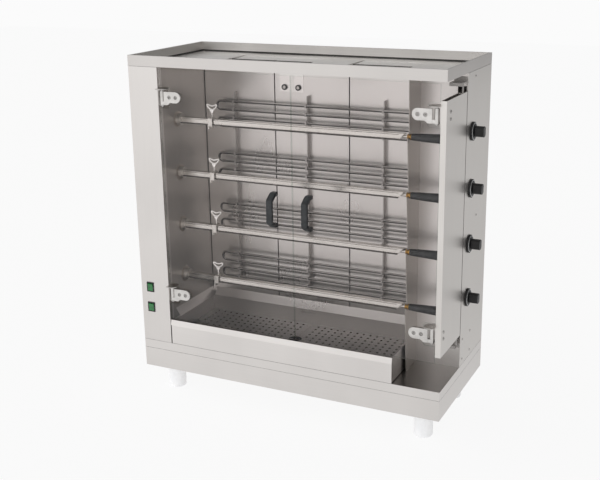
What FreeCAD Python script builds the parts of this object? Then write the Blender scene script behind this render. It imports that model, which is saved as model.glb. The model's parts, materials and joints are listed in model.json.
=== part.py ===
import FreeCAD, Part
import math
import os

from FreeCAD import Vector

# Electric skewer grill with four driven spits, two glass doors and a drip drawer.
# Millimetres. The working frame has x from the left side, y from the front face towards the
# back and z from the floor. Every solid is moved to the part's own frame when it is written:
# origin at the centre of the bounding box on the floor, +X right, +Y back, +Z up.

# ---------------------------------------------------------------- driving sizes: the cabinet
WIDTH = 1100.0
DEPTH = 468.0
SHEET = 1.5                 # stainless sheet of the casing
FOOT_HEIGHT = 98.0
APRON_HEIGHT = 70.0         # lower band of the base, up to the seam
DECK_HEIGHT = 30.0          # upper band of the base, the deck that carries the cabinet
COLUMN_HEIGHT = 970.0       # deck to the underside of the top plate
RIM_HEIGHT = 35.0
RIM_WIDTH = 8.0             # folded edge of the rim, seen from above
SEAM_GAP = 0.8              # open line between outer sheets
UPSTAND_OVERLAP = 12.0      # inner lip of the apron, below the seam

LEFT_COLUMN_WIDTH = 112.0
COLUMN_RETURN = 25.0        # flange of the column front that turns back into the cavity
REFLECTOR_Y = 295.0         # face of the panels behind the heating elements
REFLECTOR_FLANGE = 12.0
REFLECTOR_GAP = 4.0         # open joint between two reflector panels
REFLECTOR_COUNT = 3
BAY_WIDTH = 150.0           # bay for the spit handles, at the right
BAY_DEPTH = 207.0

# the two openings of the top plate, along x
OPENING_START = 225.0
OPENING_BRIDGE = 135.0      # plate between the two openings
SMALL_OPENING = 215.0       # length of the right opening
OPENING_RIGHT_INSET = 205.0
OPENING_FRONT = 110.0
OPENING_BACK = 388.0
OPENING_FLANGE = 12.0

# ---------------------------------------------------------------- spits and their drive
SPIT_COUNT = 4
SPIT_PITCH = 185.0
TOP_SPIT_ABOVE_DECK = 780.5
SPIT_Y = 112.0
BAR_LEG = 20.0              # angle bar, two legs
BAR_SHEET = 3.0
BAR_LIP = 3.0               # small lip along the free edge of the front leg
BAR_SLANT = 18.0            # how far the slanted cut sets back the front leg's lower edge
BAR_TO_REST = 15.0          # end of the bar's upper leg to the rest wall
NECK_RADIUS = 5.0
FERRULE_RADIUS = 10.0
FERRULE_GROOVE_RADIUS = 7.0
FERRULE_SHOULDER = 4.5
FERRULE_GROOVE = 4.0
HANDLE_START_RADIUS = 11.0
HANDLE_END_RADIUS = 15.5
HANDLE_LENGTH = 110.0
NECK_IN_HANDLE = 36.0       # length of the neck inside the handle
HANDLE_CAP = 7.0
HANDLE_CAP_RADIUS = 16.0
TANG_SIDE = 12.0
TANG_LENGTH = 12.0
SOCKET_CLEARANCE = 0.15

HUB_RADIUS = 20.0
HUB_LENGTH = 15.0
SHAFT_RADIUS = 10.0
RUNNING_CLEARANCE = 0.05
BUSH_RADIUS = 16.0
BUSH_LENGTH = 16.0
BUSH_FLANGE_RADIUS = 28.0
BUSH_CROWN_RADIUS = 21.0
BUSH_FLANGE = 2.5
AXIAL_GAP = 0.3
SPROCKET_X = 60.0
SPROCKET_THICKNESS = 6.0
SPROCKET_TEETH = 18
CHAIN_PITCH = 12.7
ROLLER_RADIUS = 4.2
SPROCKET_TIP = 3.4          # tooth height above the pitch circle
CHAIN_CLEARANCE = 0.4
CHAIN_THICKNESS = 7.0
CHAIN_WIDTH = 9.0
MOTOR_BELOW_SPIT = 125.0    # motor shaft below the lowest spit
SHAFT_STUB = 6.0            # shaft end beyond the sprocket
GEARBOX_GAP = 12.0          # gearbox face to the sprocket
GEARBOX_DEPTH = 80.0
GEARBOX_HEIGHT = 68.0
MOTOR_RADIUS = 20.0
MOTOR_LENGTH = 90.0

# fork and its thumb screw
FORK_X = 240.0
FORK_LENGTH = 16.0
FORK_WALL = 3.2
FORK_CLEARANCE = 0.35
FORK_PLATE = 3.0
FORK_PLATE_BELOW = 24.0     # lower edge of the plate, below the spit's axis
PRONG_RADIUS = 2.2
PRONG_LENGTH = 62.0
PRONG_TIP_LENGTH = 6.5
PRONG_TIP_RADIUS = 0.5
PRONG_SPACING = 16.5
PRONG_SHIFT = 4.8           # middle of the prongs, below the spit's axis
SCREW_RADIUS = 3.0
SCREW_STEM = 28.0
LOOP_HALF_WIDTH = 18.0
LOOP_HEIGHT = 22.0
LOOP_DIP = 8.2              # depth of the dimple at the top of the loop
LOOP_DIP_SPREAD = 0.11      # its width, as a part of one turn round the loop
LOOP_SHOULDER = 0.12        # how much fuller than an ellipse the loop is
LOOP_STEPS = 20
LOOP_BAR = 2.8
LOOP_GUSSET = 11.0          # height and half width of the web under the loop

# rest wall notches
REST_TOP_Y = 97.0
REST_HOOK_Y = 90.0
REST_BACK_Y = 104.0
REST_FOOT_Y = 108.5
REST_SLOT_RISE = 8.0
HOOK_DROP = 9.0

# ---------------------------------------------------------------- heating elements
TUBE_RADIUS = 4.2
TUBE_PITCH = 29.3
TUBES_PER_ELEMENT = 4
ELEMENT_Y = 270.0
ELEMENT_INSET = 60.0        # left column to the elements
ELEMENT_BEND_GAP = 6.0      # right bend to the rest wall
ELEMENT_TAIL = 35.0         # tube ends beyond the rest wall
TERMINAL_RADIUS = 2.0
TERMINAL_LENGTH = 15.0
RAIL_COUNT = 3
RAIL_INSET = 129.5          # left column to the first rail
LAST_RAIL_INSET = 150.0     # last rail to the rest wall
RAIL_FRONT_Y = 277.0
RAIL_BOTTOM = 172.0         # above the deck
RAIL_TOP = 857.0
RAIL_SHEET = 3.0
CLIP_WIDTH = 6.0
CLIP_HEIGHT = 13.0
CLIP_FRONT = 2.0

# ---------------------------------------------------------------- doors
GLASS = 5.0
GLASS_FRONT_Y = 2.0
DOOR_BOTTOM = 94.0          # above the deck
DOOR_TOP = 964.0
DOOR_SIDE_GAP = 5.0
MEETING_GAP = 3.0
PIN_INSET = 13.0            # hinge pin from the wall or gate that carries it
PIN_Y = 6.0
PIN_RADIUS = 2.5
PIN_END_RADIUS = 3.6        # rounded button at the pin's lower end
PIN_END_LENGTH = 5.6
PIN_END_ROUND = 2.8
HINGE_HEIGHTS = (873.5, 189.0)   # screw line of each hinge above the deck
LEAF_LENGTH = 74.5          # from the pin to the rounded end
LEAF_START = 11.0           # from the pin to the leaf's inner edge
LEAF_HALF_HEIGHT = 18.5
LEAF_THICKNESS = 6.0
LEAF_EDGE = 1.2
LEAF_DROP = 26.0            # lower end of the barrel, below the screw line
LEAF_NECK = 23.0            # from the pin to where the lower edge starts to rise
LEAF_BLEND = 37.0
LEAF_BRIDGE = 12.0          # height of the piece that joins leaf and barrel
BARREL_RADIUS = 7.5
LEAF_SCREW_INSET = 18.0
LEAF_SCREW_PITCH = 24.0
LEAF_SCREW_RADIUS = 5.6
LEAF_SCREW_SUNK = 0.8
LEAF_SHANK_RADIUS = 3.2
CLAMP_THICKNESS = 2.0
EAR_THICKNESS = 2.5
EAR_RADIUS = 25.0
EAR_NOSE_RADIUS = 8.0
EAR_GAP = 0.4
SPACER_HEIGHT = 6.5         # washer between the barrel and the upper ear
SPACER_RADIUS = 4.5
BRACKET_THICKNESS = 2.5
BRACKET_FRONT_Y = 3.5
BRACKET_BACK_Y = 31.0
NOTCH_REACH = 27.5          # glass cut-out, from the pin
NOTCH_ABOVE = 36.5
NOTCH_BELOW = 38.5
NOTCH_CORNER = 8.0

GRIP_OFFSET = 61.5          # door handle from the meeting line
GRIP_HEIGHT = 119.0
GRIP_MID = 535.0            # above the deck
GRIP_WIDTH = 22.0
GRIP_PROUD = 45.0
GRIP_THICKNESS = 12.0
GRIP_LEG = 16.0
GRIP_CHAMFER_Y = 28.0
GRIP_CHAMFER_Z = 18.0
GRIP_INNER_CHAMFER_Y = 22.0
GRIP_INNER_CHAMFER_Z = 14.0
GRIP_ROUND = 4.0

# side gate
GATE_THICKNESS = 18.0
GATE_REAR_GAP = 5.0         # gate to the wall behind it
GATE_BOTTOM = 116.0         # above the deck
GATE_TOP = 915.0
GATE_PIVOT_INSET_X = 9.0
GATE_PIVOT_INSET_Y = 19.0
PIVOT_RADIUS = 3.0
PIVOT_SHOULDER = 6.0
PIVOT_PLATE = 3.0
PIVOT_GAP = 0.4
PIVOT_STANDOFF = 29.3       # gate end to the bracket
PIVOT_TONGUE = 34.0
BRACKET_WIDTH = 42.5
BRACKET_DEPTH = 51.0
BRACKET_FLANGE = 10.0
BRACKET_TAB = 14.0
PIVOT_WINDOW_INSET = 2.5    # opening of the bay wall behind each pivot
PIVOT_WINDOW_WIDTH = 28.0
PIVOT_WINDOW_HEIGHT = 28.0
PIVOT_WINDOW_OVER = 15.0
GATE_SCREW_YS = (40.0, 26.0)     # upper hinge, lower hinge
GATE_SCREW_OFFSET = 11.0
GATE_SCREW_DROP = 6.0       # middle of a pair, below the hinge's screw line
GATE_SCREW_RADIUS = 6.5
GATE_SCREW_PROUD = 3.0

# door catch under the rim
CATCH_WIDTH = 82.0
CATCH_DROP = 57.0
CATCH_FLANGE = 16.0
MAGNET_RADIUS = 9.0
MAGNET_PITCH = 47.0
MAGNET_THICKNESS = 5.0
MAGNET_ABOVE_EDGE = 14.5
MAGNET_GAP = 0.3

# ---------------------------------------------------------------- drawer
DRAWER_LEFT_GAP = 4.0       # to the left column
DRAWER_RIGHT_GAP = 10.5     # to the rest wall
DRAWER_DEPTH = 291.5
DRAWER_FRONT_BOTTOM = 1.0   # above the deck
DRAWER_FLOOR = 3.5
DRAWER_TOP = 88.0
DRAWER_BEVEL = 20.0
DRAWER_LEAN = 3.5
RUNNER_WIDTH = 16.0
RUNNER_HEIGHT = 3.2
RUNNER_INSET = 14.0
INSERT_TOP = 31.0           # above the deck
INSERT_GAP = 0.8
HOLE_PITCH = 25.0
HOLE_RADIUS = 4.8
HOLE_EDGE = 28.0
HOLE_BACK_EDGE = 17.2
FINGER_RADIUS = 23.0
FINGER_Y = 143.0
DEFLECTOR_TOP = 118.5       # above the deck
DEFLECTOR_BOTTOM = 90.5
DEFLECTOR_REACH = 17.0
DEFLECTOR_SHEET = 1.3
DEFLECTOR_FRONT = 40.0

# ---------------------------------------------------------------- controls
KNOB_Y = 272.0
KNOB_SKIRT_RADIUS = 30.0
KNOB_SKIRT = 7.2
KNOB_RING_RADIUS = 24.0
KNOB_RING = 1.5
KNOB_GRIP_RADIUS = 15.5
KNOB_PROUD = 39.0
KNOB_GAP = 0.4
KNOB_FLAT = 4.0             # depth of the finger flats
SPINDLE_RADIUS = 3.0
SPINDLE_LENGTH = 26.0
SPINDLE_HOLE_RADIUS = 5.0
REGULATOR_SIDE = 44.0
REGULATOR_DEPTH = 32.0
REGULATOR_TAB_PITCH = 15.0
ROCKER_X = 36.5
ROCKER_HEIGHTS = (200.0, 126.0)  # above the deck
BEZEL_WIDTH = 28.0
BEZEL_HEIGHT = 35.5
BEZEL_PROUD = 2.0
SWITCH_WIDTH = 24.0
SWITCH_HEIGHT = 31.5
SWITCH_DEPTH = 28.0
SWITCH_WALL = 1.4
SWITCH_WINDOW_DEPTH = 17.0
ROCKER_CLEARANCE = 0.5
ROCKER_END_CLEARANCE = 1.6
ROCKER_TILT = 7.0           # degrees either side of level
ROCKER_PIVOT_Y = 7.0
ROCKER_AXLE_RADIUS = 1.5

# ---------------------------------------------------------------- feet, gland, rear
FOOT_TOP_RADIUS = 32.5
FOOT_BOTTOM_RADIUS = 31.0
FOOT_INSET_X = 77.0
FOOT_INSET_Y = 79.0
FOOT_ROUND = 7.0
GLAND_PROUD = 24.0
GLAND_NUT = 17.0            # across corners, half
GLAND_BORE = 6.5
GLAND_INSET = 70.0          # from the right side
GLAND_ABOVE_DECK = 60.0
GLAND_FLANGE = 6.0
GLAND_DOME_RADIUS = 13.5
GLAND_MOUTH_RADIUS = 9.5
BLOCK_LENGTH = 64.0         # terminal block of the mains inlet
BLOCK_DEPTH = 24.0
BLOCK_HEIGHT = 19.0
BLOCK_INSET_X = 16.0
BLOCK_INSET_Y = 40.0
BLOCK_POLES = 5
BLOCK_POLE_PITCH = 12.0
BLOCK_SCREW_RADIUS = 3.2
BLOCK_SCREW_DEPTH = 6.5
SCREW_HEAD_RADIUS = 5.0
SCREW_HEAD = 2.2
LOUVRE_LENGTH = 70.0
LOUVRE_HEIGHT = 5.0
LOUVRE_PITCH = 16.0
LOUVRE_ROWS = 8
LOUVRE_SHIFT = 7.0          # the drive's louvres, off the middle of its column
RIVET_YS = (234.0, 319.0)
RIVET_HEIGHTS = (20.0, 90.0)     # above the deck
SIDE_SCREWS = ((288.5, 951.0), (344.5, 488.0))
REAR_SCREW_INSET = 12.0
REAR_SCREW_COLUMNS = 4
REAR_SCREW_ROWS = 4
PLATE_SCREW_INSET = 24.0

# ---------------------------------------------------------------- values worked out from them
Z_BASE = FOOT_HEIGHT
Z_SEAM = Z_BASE + APRON_HEIGHT
Z_DECK = Z_SEAM + DECK_HEIGHT
Z_TOP_PLATE = Z_DECK + COLUMN_HEIGHT
Z_TOP = Z_TOP_PLATE + RIM_HEIGHT
SPIT_ZS = [Z_DECK + TOP_SPIT_ABOVE_DECK - SPIT_PITCH * k for k in range(SPIT_COUNT)]
REST_X = WIDTH - BAY_WIDTH
BAR_HIGH_END = REST_X - BAR_TO_REST
BAR_LOW_END = BAR_HIGH_END - BAR_SLANT
ELEMENT_LEFT = LEFT_COLUMN_WIDTH + ELEMENT_INSET
ELEMENT_RIGHT_BEND = REST_X - ELEMENT_BEND_GAP
ELEMENT_TERMINAL = REST_X + ELEMENT_TAIL
FIRST_RAIL_X = LEFT_COLUMN_WIDTH + RAIL_INSET
RAIL_PITCH = (REST_X - LAST_RAIL_INSET - FIRST_RAIL_X) / (RAIL_COUNT - 1)
RAIL_XS = [FIRST_RAIL_X + RAIL_PITCH * k for k in range(RAIL_COUNT)]
OPENING_END = WIDTH - OPENING_RIGHT_INSET
SECOND_OPENING = OPENING_END - SMALL_OPENING
OPENING_SPANS = ((OPENING_START, SECOND_OPENING - OPENING_BRIDGE),
                 (SECOND_OPENING, OPENING_END))
DRAWER_LEFT = LEFT_COLUMN_WIDTH + DRAWER_LEFT_GAP
DRAWER_RIGHT = REST_X - DRAWER_RIGHT_GAP
GLAND_X = WIDTH - GLAND_INSET
GATE_INNER_X = WIDTH - GATE_THICKNESS
MEETING_X = (LEFT_COLUMN_WIDTH + GATE_INNER_X) / 2.0
GATE_REAR_Y = BAY_DEPTH - GATE_REAR_GAP
PIN_X_LEFT = LEFT_COLUMN_WIDTH + PIN_INSET
PIN_X_RIGHT = GATE_INNER_X - PIN_INSET
GATE_PIVOT_X = WIDTH - GATE_PIVOT_INSET_X
GATE_PIVOT_Y = GATE_REAR_Y - GATE_PIVOT_INSET_Y
HINGE_ZS = [Z_DECK + h for h in HINGE_HEIGHTS]
GRIP_FRONT_Y = GLASS_FRONT_Y - GRIP_PROUD
GRIP_MID_Z = Z_DECK + GRIP_MID
PITCH_RADIUS = CHAIN_PITCH / (2.0 * math.sin(math.pi / SPROCKET_TEETH))
TIP_RADIUS = PITCH_RADIUS + SPROCKET_TIP
MOTOR_Z = SPIT_ZS[-1] - MOTOR_BELOW_SPIT
HUB_END_X = LEFT_COLUMN_WIDTH + BUSH_FLANGE + AXIAL_GAP + HUB_LENGTH
FERRULE_X = REST_X - SHEET / 2.0 - FERRULE_GROOVE / 2.0 - FERRULE_SHOULDER
FERRULE_END = FERRULE_X + 2.0 * FERRULE_SHOULDER + FERRULE_GROOVE
HANDLE_END = FERRULE_END + HANDLE_LENGTH + HANDLE_CAP
ROCKER_ZS = [Z_DECK + h for h in ROCKER_HEIGHTS]
X_MIN = 0.0
X_MAX = WIDTH + KNOB_PROUD
Y_MIN = GRIP_FRONT_Y
Y_MAX = DEPTH + GLAND_PROUD
ORIGIN = Vector((X_MIN + X_MAX) / 2.0, (Y_MIN + Y_MAX) / 2.0, 0.0)

X_AXIS = Vector(1, 0, 0)
Y_AXIS = Vector(0, 1, 0)
Z_AXIS = Vector(0, 0, 1)


# ---------------------------------------------------------------- shape helpers
def box(x0, x1, y0, y1, z0, z1):
    return Part.makeBox(x1 - x0, y1 - y0, z1 - z0, Vector(x0, y0, z0))


def rod_x(x0, x1, y, z, radius):
    return Part.makeCylinder(radius, x1 - x0, Vector(x0, y, z), X_AXIS)


def rod_y(x, y0, y1, z, radius):
    return Part.makeCylinder(radius, y1 - y0, Vector(x, y0, z), Y_AXIS)


def rod_z(x, y, z0, z1, radius):
    return Part.makeCylinder(radius, z1 - z0, Vector(x, y, z0), Z_AXIS)


def face_of(points):
    return Part.Face(Part.makePolygon([Vector(*p) for p in points] + [Vector(*points[0])]))


def prism_x(points_yz, x0, x1):
    return face_of([(x0, y, z) for y, z in points_yz]).extrude(X_AXIS * (x1 - x0))


def prism_y(points_xz, y0, y1):
    return face_of([(x, y0, z) for x, z in points_xz]).extrude(Y_AXIS * (y1 - y0))


def fuse(first, *others):
    return first.fuse(list(others)).removeSplitter()


def cut(shape, *tools):
    return shape.cut(list(tools))


def mirrored(shape, x):
    return shape.mirror(Vector(x, 0, 0), X_AXIS)


def holed_sheet(outline, holes, direction):
    """A flat sheet cut from one outline wire and many hole wires."""
    openings = Part.makeCompound([Part.Face(hole) for hole in holes])
    return Part.Face(outline).cut(openings).extrude(direction).Solids[0]


def save(name, *shapes):
    solids = [solid for shape in shapes for solid in shape.Solids]
    for number, solid in enumerate(solids):
        if not solid.isValid():
            print("invalid solid", number, "in", name)
    whole = solids[0] if len(solids) == 1 else Part.makeCompound(solids)
    whole.translated(ORIGIN * -1.0).exportStep(os.path.join("parts", name + ".step"))
    print("%-24s %3d solids %12.0f mm3" % (name, len(solids), sum(s.Volume for s in solids)))


# ---------------------------------------------------------------- casing
def base_apron():
    """Lower pan of the base: floor, four walls and the inner lip that carries the deck."""
    outer = box(0, WIDTH, 0, DEPTH, Z_BASE, Z_SEAM - SEAM_GAP)
    inside = box(SHEET, WIDTH - SHEET, SHEET, DEPTH - SHEET, Z_BASE + SHEET, Z_SEAM)
    lip_low = Z_SEAM - UPSTAND_OVERLAP
    lip_top = Z_DECK - SHEET
    lip = box(SHEET, WIDTH - SHEET, SHEET, DEPTH - SHEET, lip_low, lip_top)
    double = 2.0 * SHEET
    hollow = box(double, WIDTH - double, double, DEPTH - double, lip_low, lip_top)
    return fuse(cut(outer, inside), cut(lip, hollow))


def base_deck():
    """Upper pan, upside down: the deck plate with a rim turned down over the apron's lip."""
    outer = box(0, WIDTH, 0, DEPTH, Z_SEAM, Z_DECK)
    return cut(outer, box(SHEET, WIDTH - SHEET, SHEET, DEPTH - SHEET, Z_SEAM, Z_DECK - SHEET))


def feet():
    """Four moulded feet, slightly tapered, with a rounded lower edge."""
    shapes = []
    for x in (FOOT_INSET_X, WIDTH - FOOT_INSET_X):
        for y in (FOOT_INSET_Y, DEPTH - FOOT_INSET_Y):
            cone = Part.makeCone(FOOT_BOTTOM_RADIUS, FOOT_TOP_RADIUS, FOOT_HEIGHT, Vector(x, y, 0))
            low_edges = [e for e in cone.Edges if e.BoundBox.ZMax < SHEET and len(e.Vertexes) == 1]
            shapes.append(cone.makeFillet(FOOT_ROUND, low_edges[:1]))
    return shapes


def left_column_cover():
    """Front, left side and the two returns of the left column, one folded sheet."""
    low = Z_DECK + SEAM_GAP
    high = Z_TOP_PLATE - SEAM_GAP
    rear = DEPTH - SHEET
    front = box(0, LEFT_COLUMN_WIDTH, 0, SHEET, low, high)
    side = box(0, SHEET, 0, rear, low, high)
    inner_return = box(LEFT_COLUMN_WIDTH - SHEET, LEFT_COLUMN_WIDTH, 0, COLUMN_RETURN, low, high)
    rear_return = box(0, COLUMN_RETURN, rear - SHEET, rear, low, high)
    body = fuse(front, side, inner_return, rear_return)
    windows = [
        box(ROCKER_X - SWITCH_WIDTH / 2.0, ROCKER_X + SWITCH_WIDTH / 2.0, 0, SHEET,
            z - SWITCH_HEIGHT / 2.0, z + SWITCH_HEIGHT / 2.0)
        for z in ROCKER_ZS
    ]
    return cut(body, *windows)


def left_inner_wall():
    """Wall between the cooking space and the drive; it holds the spit bearings."""
    wall = box(LEFT_COLUMN_WIDTH - SHEET, LEFT_COLUMN_WIDTH, COLUMN_RETURN, DEPTH - SHEET,
               Z_DECK, Z_TOP_PLATE)
    holes = [rod_x(LEFT_COLUMN_WIDTH - SHEET, LEFT_COLUMN_WIDTH, SPIT_Y, z, BUSH_RADIUS)
             for z in SPIT_ZS]
    return cut(wall, *holes)


def reflector_panels():
    """Three bright panels behind the elements, with open joints, and the fat deflectors."""
    left = LEFT_COLUMN_WIDTH
    right = REST_X - SHEET
    pitch = (right - left) / REFLECTOR_COUNT
    shapes = []
    for k in range(REFLECTOR_COUNT):
        x0 = left + pitch * k + (REFLECTOR_GAP / 2.0 if k else 0.0)
        x1 = left + pitch * (k + 1) - (REFLECTOR_GAP / 2.0 if k < REFLECTOR_COUNT - 1 else 0.0)
        panel = box(x0, x1, REFLECTOR_Y, REFLECTOR_Y + REFLECTOR_FLANGE, Z_DECK, Z_TOP_PLATE)
        hollow = box(x0 + SHEET, x1 - SHEET, REFLECTOR_Y + SHEET, REFLECTOR_Y + REFLECTOR_FLANGE,
                     Z_DECK, Z_TOP_PLATE)
        shapes.append(cut(panel, hollow))
    top = Z_DECK + DEFLECTOR_TOP
    low = Z_DECK + DEFLECTOR_BOTTOM
    reach = DEFLECTOR_REACH
    thick = DEFLECTOR_SHEET
    slope = [(0.0, top), (0.0, top - thick), (reach - thick, low), (reach, low)]
    shapes.append(prism_y([(left + a, z) for a, z in slope], DEFLECTOR_FRONT, REFLECTOR_Y))
    shapes.append(prism_y([(right - a, z) for a, z in slope], REST_FOOT_Y, REFLECTOR_Y))
    shapes.append(prism_x([(REFLECTOR_Y - a, z) for a, z in slope], left + reach, right - reach))
    return shapes


def slot_rows(x_mid, z_mid, y):
    """Outline wires of one block of louvre slots in the rear cover."""
    wires = []
    for row in range(LOUVRE_ROWS):
        z = z_mid + (row - (LOUVRE_ROWS - 1) / 2.0) * LOUVRE_PITCH
        a = Vector(x_mid - LOUVRE_LENGTH / 2.0, y, z - LOUVRE_HEIGHT / 2.0)
        b = a + X_AXIS * LOUVRE_LENGTH
        c = b + Z_AXIS * LOUVRE_HEIGHT
        d = a + Z_AXIS * LOUVRE_HEIGHT
        left_mid = (a + d) * 0.5 - X_AXIS * (LOUVRE_HEIGHT / 2.0)
        right_mid = (b + c) * 0.5 + X_AXIS * (LOUVRE_HEIGHT / 2.0)
        wires.append(Part.Wire([
            Part.LineSegment(a, b).toShape(), Part.Arc(b, right_mid, c).toShape(),
            Part.LineSegment(c, d).toShape(), Part.Arc(d, left_mid, a).toShape()]))
    return wires


def louvre_centres():
    """Middle of each block of slots: behind the drive and behind the regulators."""
    drive_x = LEFT_COLUMN_WIDTH / 2.0
    control_x = (REST_X + WIDTH) / 2.0
    heights = [(SPIT_ZS[0] + SPIT_ZS[1]) / 2.0, (SPIT_ZS[2] + SPIT_ZS[3]) / 2.0]
    return [(x, z) for x in (drive_x + LOUVRE_SHIFT, control_x) for z in heights]


def rear_cover():
    y = DEPTH - SHEET
    low = Z_DECK + SEAM_GAP
    high = Z_TOP_PLATE - SEAM_GAP
    corners = [(0, y, low), (WIDTH, y, low), (WIDTH, y, high), (0, y, high), (0, y, low)]
    outline = Part.makePolygon([Vector(*c) for c in corners])
    holes = [wire for x, z in louvre_centres() for wire in slot_rows(x, z, y)]
    gland = Part.Circle(Vector(GLAND_X, y, Z_DECK + GLAND_ABOVE_DECK), Y_AXIS, GLAND_BORE + SHEET)
    holes.append(Part.Wire(gland.toShape()))
    return holed_sheet(outline, holes, Y_AXIS * SHEET)


def right_side_panel():
    panel = box(WIDTH - SHEET, WIDTH, BAY_DEPTH, DEPTH - SHEET, Z_DECK + SEAM_GAP,
                Z_TOP_PLATE - SEAM_GAP)
    holes = [rod_x(WIDTH - SHEET, WIDTH, KNOB_Y, z, SPINDLE_HOLE_RADIUS) for z in SPIT_ZS]
    return cut(panel, *holes)


def bay_back_wall():
    """Wall behind the spit handles, with an opening behind each pivot of the side gate."""
    wall = box(REST_X, WIDTH - SHEET, BAY_DEPTH, BAY_DEPTH + SHEET, Z_DECK, Z_TOP_PLATE)
    right = WIDTH - SHEET - PIVOT_WINDOW_INSET
    windows = []
    for z0 in (Z_DECK + GATE_TOP + PIVOT_WINDOW_OVER - PIVOT_WINDOW_HEIGHT,
               Z_DECK + GATE_BOTTOM - PIVOT_WINDOW_OVER):
        windows.append(box(right - PIVOT_WINDOW_WIDTH, right, BAY_DEPTH, BAY_DEPTH + SHEET, z0,
                           z0 + PIVOT_WINDOW_HEIGHT))
    return cut(wall, *windows)


def spit_rest_wall():
    """Thin wall with a saw-toothed front edge; each hook carries the ferrule of one spit."""
    x0 = REST_X - SHEET
    x1 = REST_X
    back = DEPTH - SHEET
    slot_half = FERRULE_GROOVE_RADIUS + RUNNING_CLEARANCE
    edge = [(back, Z_TOP_PLATE), (REST_TOP_Y, Z_TOP_PLATE)]
    for z in SPIT_ZS:
        edge.append((REST_BACK_Y, z + slot_half + REST_SLOT_RISE))
        edge.append((REST_HOOK_Y, z - HOOK_DROP))
    edge += [(REST_FOOT_Y, Z_DECK), (back, Z_DECK)]
    wall = prism_x(edge, x0, x1)
    tools = []
    for z in SPIT_ZS:
        tools.append(rod_x(x0, x1, SPIT_Y, z, slot_half))
        rise = REST_SLOT_RISE
        front = REST_HOOK_Y - SHEET
        tools.append(prism_x([(SPIT_Y, z - slot_half), (SPIT_Y, z + slot_half),
                              (front, z + slot_half + rise), (front, z - slot_half + rise)],
                             x0, x1))
    for z_mid in SPIT_ZS:
        heights = tube_heights(z_mid)
        for z in (heights[0], heights[-1]):
            tools.append(rod_x(x0, x1, ELEMENT_Y, z, TUBE_RADIUS + RUNNING_CLEARANCE))
    return cut(wall, *tools)


def top_plate():
    """Recessed top with two openings, each with a flange turned down around it."""
    low = Z_TOP_PLATE
    high = low + SHEET
    plate = box(SHEET, WIDTH - SHEET, SHEET, DEPTH - SHEET, low, high)
    shapes = [plate]
    tools = []
    for x0, x1 in OPENING_SPANS:
        shapes.append(box(x0 - SHEET, x1 + SHEET, OPENING_FRONT - SHEET, OPENING_BACK + SHEET,
                          low - OPENING_FLANGE, high))
        tools.append(box(x0, x1, OPENING_FRONT, OPENING_BACK, low - OPENING_FLANGE, high))
    for x0, x1 in OPENING_SPANS:
        # each flange ends where it would meet the reflector's back-turned edges
        tools.append(box(x0 - SHEET, x1 + SHEET, REFLECTOR_Y - SEAM_GAP,
                         REFLECTOR_Y + REFLECTOR_FLANGE + SEAM_GAP, low - OPENING_FLANGE, low))
    return cut(fuse(*shapes), *tools)


def top_rim():
    """Band around the top, folded over to a narrow flat edge."""
    low = Z_TOP_PLATE
    outer = box(0, WIDTH, 0, DEPTH, low, Z_TOP)
    inner = box(RIM_WIDTH, WIDTH - RIM_WIDTH, RIM_WIDTH, DEPTH - RIM_WIDTH, low, Z_TOP)
    ring = cut(outer, inner)
    hollow = cut(box(SHEET, WIDTH - SHEET, SHEET, DEPTH - SHEET, low, Z_TOP - SHEET),
                 box(RIM_WIDTH - SHEET, WIDTH - RIM_WIDTH + SHEET, RIM_WIDTH - SHEET,
                     DEPTH - RIM_WIDTH + SHEET, low, Z_TOP - SHEET))
    seat = box(SHEET, WIDTH - SHEET, SHEET, DEPTH - SHEET, low, low + SHEET)
    return cut(ring, hollow, seat)


def door_catch():
    """Bracket under the top plate with two magnets that hold the doors at their meeting edge."""
    front = GLASS_FRONT_Y + GLASS + MAGNET_GAP + MAGNET_THICKNESS
    low = Z_TOP_PLATE - CATCH_DROP
    x0 = MEETING_X - CATCH_WIDTH / 2.0
    x1 = MEETING_X + CATCH_WIDTH / 2.0
    plate = box(x0, x1, front, front + SHEET, low, Z_TOP_PLATE)
    flange = box(x0, x1, front, front + CATCH_FLANGE, Z_TOP_PLATE - SHEET, Z_TOP_PLATE)
    magnets = [rod_y(MEETING_X + side * MAGNET_PITCH / 2.0, front - MAGNET_THICKNESS, front,
                     low + MAGNET_ABOVE_EDGE, MAGNET_RADIUS) for side in (-1, 1)]
    return [fuse(plate, flange)] + magnets


# ---------------------------------------------------------------- heating
def tube_heights(z_mid):
    return [z_mid + ((TUBES_PER_ELEMENT - 1) / 2.0 - k) * TUBE_PITCH
            for k in range(TUBES_PER_ELEMENT)]


def element(z_mid):
    """One tubular element: four level runs joined by bends, with a terminal pin at each end."""
    bend = TUBE_PITCH / 2.0
    left = ELEMENT_LEFT + TUBE_RADIUS + bend
    right = ELEMENT_RIGHT_BEND - TUBE_RADIUS - bend
    heights = tube_heights(z_mid)
    corners = [(ELEMENT_TERMINAL, left), (left, right), (right, left), (left, ELEMENT_TERMINAL)]
    edges = []
    for k, (start, end) in enumerate(corners):
        a = Vector(start, ELEMENT_Y, heights[k])
        b = Vector(end, ELEMENT_Y, heights[k])
        edges.append(Part.LineSegment(a, b).toShape())
        if k < TUBES_PER_ELEMENT - 1:
            way = -1.0 if end == left else 1.0
            crown = Vector(end + way * bend, ELEMENT_Y, heights[k] - bend)
            after = Vector(end, ELEMENT_Y, heights[k + 1])
            edges.append(Part.Arc(b, crown, after).toShape())
    start = Vector(ELEMENT_TERMINAL, ELEMENT_Y, heights[0])
    profile = Part.Wire(Part.Circle(start, X_AXIS, TUBE_RADIUS).toShape())
    tube = Part.Wire(edges).makePipeShell([profile], True, False)
    pins = [rod_x(ELEMENT_TERMINAL, ELEMENT_TERMINAL + TERMINAL_LENGTH, ELEMENT_Y, z,
                  TERMINAL_RADIUS) for z in (heights[0], heights[-1])]
    return fuse(tube, *pins)


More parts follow.
